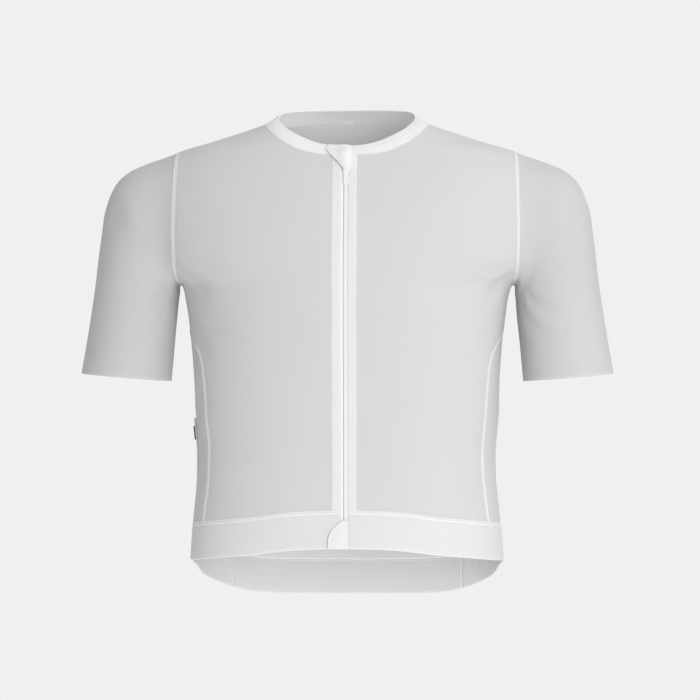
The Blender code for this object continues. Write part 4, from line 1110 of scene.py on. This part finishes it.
for left in (True, False):
    tag = "left" if left else "right"
    p, f = flat(FRONT), quads(FRONT.shape[0] - 1, FRONT.shape[1] - 1)
    p, n, f = sided(p, normal(p), f, left)
    seams = [(on_side(EDGE[k], left), WELT) for k in ("armhole", "front_seam", "front_neck", "hem")]
    double, relief, near, run = seam_marks(p, seams)
    beside = np.abs(p[:, 0]) - ZIP_OPENING
    band = 1 - soft((beside - BAND_WIDE + 0.5) / 1.0)
    double = np.maximum(double, 0.86 * band)
    relief = relief + 0.22 * band - 0.16 * np.exp(-(((beside - BAND_WIDE + 1.0) / 0.5) ** 2))
    free = (beside < 0.05).astype(float)
    up = front_r / FRONT_ROWS
    zip_share, side_share = ZIP_ROWS / FRONT_ROWS, LOW_ROWS / FRONT_ROWS
    rows_to = lambda r: float(np.argmin(np.abs(front_r - r))) / (len(front_r) - 1)
    sew(FRONT.shape[:2], p, n, trunk_lift(p) + relief, [
        ("first_column", BAND_WIDE - 1.0, 0.0, rows_to(ZIP_ROWS) - 0.01),
        ("first_column", 1.9, rows_to(ZIP_ROWS) + 0.01, 1.0),
        ("last_column", 1.9, 0.0, 1.0),
        ("first_row", 1.9, 0.0, 1.0),
    ])
    item = shell(
        f"front_{tag}_cloth", p, n, f, CLOTH, KNIT, lift=trunk_lift(p), relief=relief, free=free,
        weave=grid_weave(FRONT), marks={"double": double},
    )
    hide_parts(f"front_{tag}")
    sheet(item)

    p, f = flat(SIDE_GRID), quads(SIDE_GRID.shape[0] - 1, SIDE_GRID.shape[1] - 1)
    p, n, f = sided(p, normal(p), f, left)
    seams = [(on_side(EDGE[k], left), WELT) for k in ("armhole", "front_seam", "back_seam", "hem")]
    double, relief, near, run = seam_marks(p, seams)
    sew(SIDE_GRID.shape[:2], p, n, trunk_lift(p) + relief, [
        ("first_column", 1.9, 0.0, 1.0), ("last_column", 1.9, 0.0, 1.0), ("last_row", 1.9, 0.0, 1.0), ("first_row", 1.9, 0.0, 1.0),
    ])
    item = shell(f"side_{tag}_cloth", p, n, f, CLOTH, KNIT, lift=trunk_lift(p), relief=relief, weave=grid_weave(SIDE_GRID), marks={"double": double})
    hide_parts(f"side_{tag}")
    sheet(item)

    # Sleeve.
    p = flat(SLEEVE_LINES)
    f = quads(SLEEVE_LINES.shape[0] - 1, SLEEVE_LINES.shape[1], closed=True)[:, ::-1]
    n = face_normals(p, f)
    if n[0][2] < 0:
        f, n = f[:, ::-1], -n
    p, n, f = sided(p, n, f, left)
    count = SLEEVE_LINES.shape[1]
    cuff_d = np.concatenate([np.cumsum(np.linalg.norm(np.diff(SLEEVE_LINES[::-1], axis=0), axis=2), axis=0)[::-1], np.zeros((1, count))]).ravel()
    double, relief, near, run = seam_marks(p, [(on_side(EDGE["armhole"], left), WELT)])
    cuff = 1 - soft((cuff_d - 1.6) / 1.2)
    double = np.maximum(double, 0.15 * cuff)
    free = (cuff_d < 0.01).astype(float)
    closed = np.concatenate([SLEEVE_LINES, SLEEVE_LINES[:, :1]], axis=1)
    w = grid_weave(closed).reshape(SLEEVE_LINES.shape[0], count + 1, 2)[:, :count].reshape(-1, 2)
    lift = sleeve_lift(p, cuff_d)
    ring_p = lambda a: np.concatenate([a.reshape(SLEEVE_LINES.shape[0], count, -1), a.reshape(SLEEVE_LINES.shape[0], count, -1)[:, :1]], axis=1)
    sew((SLEEVE_LINES.shape[0], count + 1), ring_p(p).reshape(-1, 3), ring_p(n).reshape(-1, 3), ring_p(lift + relief).ravel(), [("first_row", 1.9, 0.0, 1.0)])
    item = shell(f"sleeve_{tag}_cloth", p, n, f, CLOTH, SLEEVE_KNIT, lift=lift, relief=relief + 0.12 * cuff, free=free, weave=w, marks={"double": double})
    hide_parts(f"sleeve_{tag}")
    sheet(item)

    # Hem band round the front.
    part = HEM_GRID[:, : HEM_SPLIT + 1]
    p, f = flat(part), quads(part.shape[0] - 1, part.shape[1] - 1)
    p, n, f = sided(p, normal(p), f, left)
    end = part[:, -1]
    double, relief, near, run = seam_marks(p, [(on_side(HEM_LINE, left), WELT), (on_side(end, left), 0.25)])
    low_d, _ = to_line(p, on_side(HEM_DOWN, left))
    double = np.maximum(double, 0.35 * np.exp(-((low_d / 1.6) ** 2)))
    row = np.repeat(np.arange(part.shape[0]), part.shape[1])
    col = np.tile(np.arange(part.shape[1]), part.shape[0])
    free = ((row == 0) | (col == 0)).astype(float)
    sew(part.shape[:2], p, n, trunk_lift(p) * soft((row / row.max()) * 1.4) + 0.25 + relief, [("last_row", 1.9, 0.0, 1.0)])
    item = shell(
        f"hem_{tag}_cloth", p, n, f, BAND, BAND_KNIT, lift=trunk_lift(p) * soft((row / row.max()) * 1.4) + 0.25, relief=relief, free=free,
        weave=grid_weave(part), marks={"double": double},
    )
    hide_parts(f"hem_{tag}")
    sheet(item)

# Back.
points, faces, at, keep, new = joined_halves(HALF, int(np.argmin(np.abs(back_r - CENTRE_ROWS))))
w = np.vstack([grid_weave(HALF).reshape(HALF.shape[0], HALF.shape[1], 2)[:, ::-1].reshape(-1, 2) * [-1, 1], grid_weave(HALF)])
p = points[keep]
f = new[at[faces]]
n = normal(p)
seams = []
for left in (True, False):
    seams += [(on_side(EDGE[k], left), WELT) for k in ("armhole", "back_seam", "back_neck")]
hem_back_line = np.vstack([HEM_LINE[len(HEM_LINE) - HALF.shape[1] :], mirrored(HEM_LINE[len(HEM_LINE) - HALF.shape[1] :])[::-1][1:]])
seams.append((hem_back_line, WELT))
double, relief, near, run = seam_marks(p, seams)
full_n = normal(points)
heights = (trunk_lift(p) + relief)[new[at]]
half_count = HALF.shape[0] * HALF.shape[1]
for k, (edge, inner) in enumerate((("first_column", "last_column"), ("last_column", "first_column"))):
    part_of = slice(k * half_count, (k + 1) * half_count)
    neck_from = float(np.argmin(np.abs(back_r - CENTRE_ROWS))) / (len(back_r) - 1)
    sew(HALF.shape[:2], points[part_of], full_n[part_of], heights[part_of], [(edge, 1.9, 0.0, 1.0), (inner, 1.9, neck_from + 0.01, 1.0), ("first_row", 1.9, 0.0, 1.0)])
item = shell("back_cloth", p, n, f, CLOTH, BACK_KNIT, lift=trunk_lift(p), relief=relief, weave=w[keep], marks={"double": double})
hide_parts("back")
sheet(item)

# The tail's band.
part = HEM_GRID[:, HEM_SPLIT:]
part = np.concatenate([part, mirrored(part)[:, -2::-1]], axis=1)
p, f = flat(part), quads(part.shape[0] - 1, part.shape[1] - 1)
n = normal(p)
double, relief, near, run = seam_marks(p, [(part[-1], WELT), (part[:, 0], 0.25), (part[:, -1], 0.25)])
low_d, _ = to_line(p, part[0])
double = np.maximum(double, 0.5 * np.exp(-((low_d / 1.6) ** 2)))
row = np.repeat(np.arange(part.shape[0]), part.shape[1])
rise = row / row.max()
ribs = 0.045 * np.sin(rise * 2 * math.pi * 6) * np.sin(np.pi * rise)
sew(part.shape[:2], p, n, trunk_lift(p) * soft(rise * 1.4) + 0.2 + ribs + relief, [("last_row", 1.9, 0.0, 1.0)])
item = shell(
    "hem_back_cloth", p, n, f, BAND, TAIL_KNIT, lift=trunk_lift(p) * soft(rise * 1.4) + 0.2 + ribs, relief=relief,
    free=(row == 0).astype(float), weave=grid_weave(part), marks={"double": double},
)
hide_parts("hem_back")
sheet(item)

# Collar, a little rounded, with its upper edge folded over.
rise = steps_between(True, True, 36.0, 0.5, 1.5 * COARSE)[:, None, None]
grid = NECK_LINE[None] * (1 - rise) + NECK_TURN[None] * rise
p, f = flat(grid), quads(grid.shape[0] - 1, grid.shape[1] - 1)
n = face_normals(p, f)
if n[len(NECK_LINE) // 2][2] < 0:
    f, n = f[:, ::-1], -n
up = np.repeat(rise.ravel(), grid.shape[1])
col = np.tile(np.arange(grid.shape[1]), grid.shape[0])
end = np.minimum(col, grid.shape[1] - 1 - col)
double, relief, near, run = seam_marks(p, [(NECK_LINE, WELT)])
rim_d, _ = to_line(p, NECK_TURN)
relief = relief + 0.16 * np.exp(-((rim_d / 2.2) ** 2)) - 0.18 * np.exp(-(((rim_d - 4.0) / 0.6) ** 2))
free = ((up > 0.9999) | (end == 0)).astype(float)
bulge = 0.9 * np.sin(np.pi * up) * soft(end / 10.0) + 0.25 * drift(p, 40.0, 21) * soft(end / 14.0) * np.sin(np.pi * up)
sew(grid.shape[:2], p, n, bulge + relief, [("last_row", 4.0, 0.0, 1.0)])
item = shell("collar_cloth", p, n, f, BAND, COLLAR_KNIT, lift=bulge, relief=relief, free=free, weave=grid_weave(grid), marks={"double": double})
COLLAR = (p, n, f, grid)
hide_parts("collar")
sheet(item)


# ---------------------------------------------------------------- the zip, the flap, the tab and the pockets
def finer(grid, rows, cols):
    """A coarse grid of points, made fine along smooth curves through them."""
    i, j = np.arange(grid.shape[0]), np.arange(grid.shape[1])
    ri, cj = np.linspace(0, i[-1], rows + 1), np.linspace(0, j[-1], cols + 1)
    out = np.zeros((grid.shape[0], cols + 1, 3))
    for a in range(grid.shape[0]):
        for k in range(3):
            out[a, :, k] = smooth(j, grid[a, :, k], cj) if grid.shape[1] > 2 else np.interp(cj, j, grid[a, :, k])
    full = np.zeros((rows + 1, cols + 1, 3))
    for b in range(cols + 1):
        for k in range(3):
            full[:, b, k] = smooth(i, out[:, b, k], ri) if grid.shape[0] > 2 else np.interp(ri, i, out[:, b, k])
    return full


def at_x(line, x):
    return np.array([x, np.interp(x, line[:, 0], line[:, 1]), np.interp(x, line[:, 0], line[:, 2])])


def row_marks(grid):
    row = np.repeat(np.arange(grid.shape[0]), grid.shape[1])
    col = np.tile(np.arange(grid.shape[1]), grid.shape[0])
    return row, col


coarse_front = [int(np.argmin(np.abs(front_r - k))) for k in range(ZIP_ROWS + 1)]
lines = [HEM_GRID[0, :2] * 0.9 + HEM_GRID[len(HEM_GRID) // 2, :2] * 0.1, HEM_GRID[len(HEM_GRID) // 2, :2]]
lines += [np.stack([FRONT[i, 0], FRONT[i, int(len(front_c) / 8)]]) for i in coarse_front]
ends = np.stack([NECK_LINE[-1], NECK_LINE[-1 - K // every]])
turns = np.stack([NECK_TURN[-1], NECK_TURN[-1 - K // every]])
lines += [ends, ends * (1 - TAPE_TOP) + turns * TAPE_TOP]
lines = [pair for k, pair in enumerate(lines) if k == 0 or np.linalg.norm(pair[0] - lines[k - 1][0]) > 1.0]
TEETH = []
TEETH_GAP = 0.38  # half of what shows between the tapes, past the solids' gap
for name, teeth, reach, flip in (
    ("zip_tape_left", ZIP_LINE + SEAM_GAP / 2, TAPE_REACH_LEFT, False),
    ("zip_tape_right", -ZIP_LINE + SEAM_GAP / 2, TAPE_REACH_RIGHT, True),
):
    grid = []
    for pair in lines:
        slope = (pair[1] - pair[0]) / (pair[1][0] - pair[0][0])
        edge = pair[0] * [0, 1, 1] + [teeth + TEETH_GAP, 0, 0]
        grid.append([edge, pair[0], pair[0] + slope * (reach - pair[0][0])])
    grid = finer(np.array(grid), 150, 12)
    p, f = flat(grid), quads(150, 12)
    n = face_normals(p, f)
    w = grid_weave(grid)
    if flip:
        p, n, f = mirrored(p), mirrored(n), f[:, ::-1]
    row, col = row_marks(grid)
    free = ((col == 0) | (col == 12) | (row == 0) | (row == 150)).astype(float)
    # Each tape comes up close under its front, and turns down into the line of the teeth.
    near_front = 1 - soft((np.abs(p[:, 0]) - ZIP_OPENING - 0.8) / 1.5)
    lift = -1.22 + (0.32 if flip else 0.62) * near_front - 0.45 * np.exp(-((w[:, 0] / 0.55) ** 2))
    item = shell(name + "_cloth", p, n, f, TAPE, TAPE_CLOTH, lift=lift, free=free, weave=w, marks={"double": np.full(len(p), 0.85)})
    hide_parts(name)
    sheet(item)
    TEETH.append((p.reshape(151, 13, 3)[:, 0], n.reshape(151, 13, 3)[:, 0]))


def coil(name, lines, inward, material, pitch=1.05):
    """The zip's coils on the inside of the tapes: short rounded bars across its line."""
    vertices, faces = [], []
    path, ns = (lines[0][0] + lines[1][0]) / 2, unit(lines[0][1] + lines[1][1])
    run = np.concatenate([[0.0], np.cumsum(np.linalg.norm(np.diff(path, axis=0), axis=1))])
    for k, s in enumerate(np.arange(3.0, run[-1] - 3.0, pitch)):
        c = np.array([np.interp(s, run, path[:, j]) for j in range(3)])
        n = unit(np.array([np.interp(s, run, ns[:, j]) for j in range(3)]))
        c = c - n * inward
        a = np.array([1.0, 0.0, 0.0])
        u = unit(np.cross(n, a))
        middle = 0.55 if k % 2 else -0.55
        first = len(vertices)
        for x, r in ((-2.0, 0.22), (-1.4, 0.42), (1.4, 0.42), (2.0, 0.22)):
            for q in range(5):
                t = 2 * math.pi * q / 5
                vertices.append(c + a * (x + middle) + u * r * math.cos(t) + n * r * math.sin(t) * 0.8)
        for i in range(3):
            for q in range(5):
                faces.append((first + i * 5 + q, first + i * 5 + (q + 1) % 5, first + (i + 1) * 5 + (q + 1) % 5, first + (i + 1) * 5 + q))
        faces.append(tuple(first + q for q in reversed(range(5))))
        faces.append(tuple(first + 15 + q for q in range(5)))
    return build(name, vertices, faces, material)


item = coil("zip_coils", TEETH, TAPE_DROP + 0.42, COIL_PAINTED_SHADE)
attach(item, "jersey")


def collar_row(share):
    row = NECK_LINE * (1 - share) + NECK_TURN * share
    count = 5 * K // every
    low, high = row[:count], row[-count:]
    low = low[::-1] if low[-1][0] < low[0][0] else low
    high = high[::-1] if high[-1][0] < high[0][0] else high
    return np.vstack([low, high])


def front_row(height):
    x = np.linspace(-40, 40, 33)
    return np.stack([x, depth_at(x, height, True), np.full_like(x, height)], axis=1)


# The flap over the top of the zip. Its left side is one with the doubled cloth beside the zip, so it comes down flush with it.
FLUSH_FROM, FLUSH_TO = 1.5, 7.0
FLAP_SIDE = ZIP_OPENING + BAND_WIDE
TONGUE = 17.0  # how far its left part runs on below, down to the tape


def flap_row(share, height, right, bulge):
    row = front_row(height) if share is None else collar_row(share)
    xs = np.concatenate([np.linspace(right, FLUSH_TO, 10), np.linspace(FLUSH_TO, FLAP_SIDE, 5)[1:]])
    line = np.array([at_x(row, x) for x in xs])
    lift = CLEAR + FLAP + bulge * np.clip(1 - ((xs - ZIP_LINE) / 8.5) ** 2, 0, 1)
    down = soft((xs - FLUSH_FROM) / (FLUSH_TO - FLUSH_FROM))
    flush = 0.42 if share is None else 0.42 + 0.55 * math.sin(math.pi * min(share, 1.0))
    return line, lift * (1 - down) + flush * down, xs


grid, lifts = [], []
for share, height, right, left_x, bulge in FLAP_ROWS:
    line, lift, xs = flap_row(share, height, right, bulge)
    grid.append(line)
    lifts.append(lift)
coarse, lifts = np.array(grid), np.array(lifts)
n = face_normals(flat(coarse), quads(len(coarse) - 1, coarse.shape[1] - 1))
n = (-n if n[12][1] > 0 else n).reshape(coarse.shape)
flap = finer(coarse + n * lifts[..., None], 46, 42)
line, lift, xs = flap_row(None, FLAP_ROWS[0][1] - TONGUE, FLAP_ROWS[0][2] + 0.5, 0.0)
low_end = line + normal(line) * np.where(xs < ZIP_OPENING, -0.75, -0.55)[:, None]
low_end = finer(np.stack([low_end, low_end]), 1, 42)[0]
share = soft(np.linspace(0, 1, 12)[:-1])[:, None, None]
tongue = low_end[None] * (1 - share) + flap[0][None] * share
tongue[:, :, 2] = (low_end[None, :, 2:] * (1 - np.linspace(0, 1, 12)[:-1, None, None]) + flap[0][None, :, 2:] * np.linspace(0, 1, 12)[:-1, None, None])[..., 0]
grid = np.concatenate([tongue, flap])
FLAP_TOP = len(grid) - 1
p, f = flat(grid), quads(FLAP_TOP, 42)
n = face_normals(p, f)
if n[700][1] > 0:
    f, n = f[:, ::-1], -n
row, col = row_marks(grid)
free = ((row == 0) | (row == FLAP_TOP) | (col == 0)).astype(float)
edge_d, _ = to_line(p, np.vstack([grid[0], grid[:, 0][::-1]]) if False else grid[:, 0])
stitch_d = edge_d
relief = -0.12 * np.exp(-(((stitch_d - 2.4) / 0.4) ** 2))
sew(grid.shape[:2], p, n, relief, [("first_column", 2.4, 0.24, 0.97)])
item = shell("zip_garage_cloth", p, n, f, FLAP, FLAP_KNIT, lift=0.0, relief=relief, free=free, weave=grid_weave(grid), marks={"double": np.full(len(p), 0.8)})
GARAGE = (grid, n.reshape(grid.shape))
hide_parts("zip_garage")
sheet(item)

# The tab over the bottom of the zip.
grid, lifts = [], []
for height, free_x in TAB_ROWS:
    xs = np.linspace(free_x, ZIP_OPENING - SEAM_GAP, 6)
    grid.append(np.stack([xs, depth_at(xs, height, True), np.full_like(xs, height)], axis=1))
    stand = CLEAR + TAB + 0.25 + 0.9 * np.clip((-402.0 - height) / 15.0, 0, 1)
    lifts.append(np.interp(xs, (-13.0, -ZIP_OPENING, ZIP_OPENING), (stand, CLEAR + TAB + 0.25, 0.25)))
coarse = np.array(grid)
raised = coarse + normal(coarse) * np.array(lifts)[..., None]
grid = finer(raised, 30, 26)
p, f = flat(grid), quads(30, 26)
n = normal(p)
row, col = row_marks(grid)
free = ((row == 0) | (row == 30) | (col == 0)).astype(float)
edge_d, _ = to_line(p, grid[:, 0])
relief = -0.12 * np.exp(-(((edge_d - 2.2) / 0.4) ** 2))
sew(grid.shape[:2], p, n, relief, [("first_column", 2.2, 0.05, 0.97)])
item = shell("hem_tab_cloth", p, n, f, TAB, BAND_KNIT, lift=0.0, relief=relief, free=free, weave=grid_weave(grid), marks={"double": 0.5 + 0.5 * np.exp(-((edge_d / 1.5) ** 2))})
TAB_GRID = (grid, n.reshape(grid.shape))
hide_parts("hem_tab")
sheet(item)

# Pockets.
row_low = int(np.argmin(np.abs(back_r - POCKET_ROWS)))
split_c = int(np.argmin(np.abs(back_c - POCKET_SPLIT / 7)))
LOW = HALF[: row_low + 1]


def gape(across_share):
    up = (back_r[: row_low + 1] / POCKET_ROWS) ** 3
    return POCKET_CLEAR + POCKET_CLOTH + POCKET_GAPE * up[:, None] * np.sin(np.pi * across_share)[None]


def pocket(name, grid, across, flip):
    p, f = flat(grid), quads(grid.shape[0] - 1, grid.shape[1] - 1)
    n = normal(p)
    lift = gape(across).ravel() + trunk_lift(p)
    w = grid_weave(grid)
    if flip:
        p, n, f = mirrored(p), mirrored(n), f[:, ::-1]
        lift = gape(across).ravel() + trunk_lift(p)
    row, col = row_marks(grid)
    top, count = grid.shape[0] - 1, grid.shape[1] - 1
    line = (lambda g: mirrored(g) if flip else g)
    mouth_d, _ = to_line(p, line(grid[-1]))
    side_d = np.minimum(to_line(p, line(grid[:, 0]))[0], to_line(p, line(grid[:, -1]))[0])
    band = 1 - soft((mouth_d - 11.0) / 1.0)
    double = np.maximum(0.7 * band, 1 - soft((side_d - 1.8) / 0.8))
    relief = 0.25 * band - 0.15 * np.exp(-(((mouth_d - 10.0) / 0.5) ** 2)) + 0.15 * np.exp(-(((side_d - 1.2) / 0.9) ** 2))
    # The elastic in the mouth draws it up in small ruffles.
    s = w[:, 0]
    relief = relief + 0.16 * band * np.sin(s * 2 * math.pi / 5.1 + np.sin(s * 0.3))
    free = (row == top).astype(float)
    free[(row == 0) | (col == 0) | (col == count)] = 0.6
    sew(grid.shape[:2], p, n, lift + relief, [("last_row", 10.0, 0.02, 0.98), ("first_column", 1.8, 0.0, 1.0), ("last_column", 1.8, 0.0, 1.0)])
    item = shell(name + "_cloth", p, n, f, POCKET_CLOTH, KNIT, lift=lift, relief=relief, free=free, weave=w, marks={"double": double})
    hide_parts(name)
    sheet(item)
    return p + n * (lift + relief)[:, None]


c = back_c[: split_c + 1] / back_c[split_c]
middle = np.concatenate([LOW[:, split_c:0:-1], mirrored(LOW[:, : split_c + 1])], axis=1)
across = np.concatenate([0.5 - 0.5 * c[:0:-1], 0.5 + 0.5 * c])
pocket("pocket_centre", middle, across, False)
outer = LOW[:, split_c:][:, ::-1]
c = (back_c[split_c:] - back_c[split_c]) / (1 - back_c[split_c])
pocket("pocket_left", outer, (1 - c)[::-1], False)
pocket("pocket_right", outer, (1 - c)[::-1], True)

# The zip on the wearer's right pocket: a woven tape with a raised edge on each side of the coils.
outer_skin = mirrored(outer + (gape((1 - c)[::-1]))[..., None] * normal(outer))
outer_columns = (back_c[split_c:] * 7)[::-1]


def on_pocket(r, column):
    """A place on the wearer's right pocket, in the rows and columns of the back panel's grid."""
    rows = back_r[: row_low + 1]
    return np.array(
        [np.interp(r, rows, [np.interp(column, outer_columns[::-1], line[::-1, k]) for line in outer_skin]) for k in range(3)]
    )


rs = np.linspace(POCKET_ZIP_ROWS[0], POCKET_ZIP_ROWS[1], 90)
cs = np.linspace(POCKET_ZIP_COLUMNS[0], POCKET_ZIP_COLUMNS[1], 17)
grid = np.array([[on_pocket(r, k) for k in cs] for r in rs])
p, f = flat(grid), quads(89, 16)
n = face_normals(p, f)
if n[100][0] > 0:
    f, n = f[:, ::-1], -n
row, col = row_marks(grid)
x = col / 16 - 0.5
relief = 0.3 * np.exp(-(((np.abs(x) - 0.13) / 0.07) ** 2)) - 0.25 * np.exp(-((x / 0.04) ** 2))
free = ((row == 0) | (row == 89) | (col == 0) | (col == 16)).astype(float)
item = shell("pocket_zip_cloth", p, n, f, POCKET_ZIP_TAPE, TAPE_CLOTH, lift=CLEAR + POCKET_ZIP_TAPE + trunk_lift(p), relief=relief, free=free, weave=grid_weave(grid), marks={"double": np.full(len(p), 0.3)})
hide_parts("pocket_zip")
sheet(item)

# ---------------------------------------------------------------- metal
for name in ("zip_slider", "zip_pull", "pocket_zip_slider", "pocket_zip_pull"):
    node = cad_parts[name]
    node.data.materials.clear()
    node.data.materials.append(METAL)
    edge = node.modifiers.new("rounded", "BEVEL")
    edge.width = 0.00028
    edge.segments = 2
    edge.limit_method = "ANGLE"
    edge.angle_limit = math.radians(30)

# ---------------------------------------------------------------- stitching, as one joined mesh
item = stitches(THREADS, "stitching", THREAD)
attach(item, "jersey")
print("stitches", len(item.data.polygons), "faces")
print("cuts", {k: round(v, 5) for k, v in CUTS.items()})

# ---------------------------------------------------------------- light, floor and camera
scene = bpy.context.scene
scene.view_settings.view_transform = "Standard"
scene.view_settings.look = "None"
scene.view_settings.exposure = 0.0
scene.view_settings.gamma = 1.0

PALE = 0.871
world = bpy.data.worlds.new("studio")
scene.world = world
world.use_nodes = True
tree = world.node_tree
tree.nodes.clear()
out = tree.nodes.new("ShaderNodeOutputWorld")
seen, fill = tree.nodes.new("ShaderNodeBackground"), tree.nodes.new("ShaderNodeBackground")
seen.inputs["Color"].default_value = (PALE, PALE, PALE, 1)
seen.inputs["Strength"].default_value = 1.0
fill.inputs["Color"].default_value = (1, 1, 1, 1)
fill.inputs["Strength"].default_value = WORLD
path = tree.nodes.new("ShaderNodeLightPath")
pick = tree.nodes.new("ShaderNodeMixShader")
tree.links.new(path.outputs["Is Camera Ray"], pick.inputs[0])
tree.links.new(fill.outputs[0], pick.inputs[1])
tree.links.new(seen.outputs[0], pick.inputs[2])
tree.links.new(pick.outputs[0], out.inputs["Surface"])

# A pale floor far below, which shows as the same even tone.
material, tree = nodes_of("pale_floor")
out = tree.nodes.new("ShaderNodeOutputMaterial")
glow = tree.nodes.new("ShaderNodeEmission")
glow.inputs["Color"].default_value = (PALE, PALE, PALE, 1)
glow.inputs["Strength"].default_value = 1.0
tree.links.new(glow.outputs[0], out.inputs["Surface"])
floor = build("floor", [(-6000, -6000, -1400), (6000, -6000, -1400), (6000, 6000, -1400), (-6000, 6000, -1400)], [(0, 1, 2, 3)], material, smooth=False)
floor.visible_diffuse = False
floor.visible_glossy = False
floor.visible_transmission = False
floor.visible_shadow = False


def lamp(name, place, target, size, power):
    data = bpy.data.lights.new(name, "AREA")
    data.shape = "DISK"
    data.size = size
    data.energy = power
    item = bpy.data.objects.new(name, data)
    scene.collection.objects.link(item)
    item.location = place
    way = np.array(target) - np.array(place)
    from mathutils import Vector

    item.rotation_euler = Vector(way).to_track_quat("-Z", "Y").to_euler()
    item.visible_camera = False
    return item


for name, place, size, power in LAMPS:
    lamp(name, place, (0.0, 0.0, -0.25), size, power)

camera_data = bpy.data.cameras.new("camera")
camera = bpy.data.objects.new("camera", camera_data)
scene.collection.objects.link(camera)
scene.camera = camera
AWAY, TURN, ASIDE = 3.0, math.radians(1.5), 0.00315
camera.location = (AWAY * math.sin(TURN) + ASIDE * math.cos(TURN), -AWAY * math.cos(TURN) + ASIDE * math.sin(TURN), -0.2205)
camera.rotation_euler = (math.pi / 2, 0.0, TURN)
camera_data.sensor_width = 36.0
camera_data.lens = 36.0 * AWAY / 0.735
camera_data.clip_end = 50.0
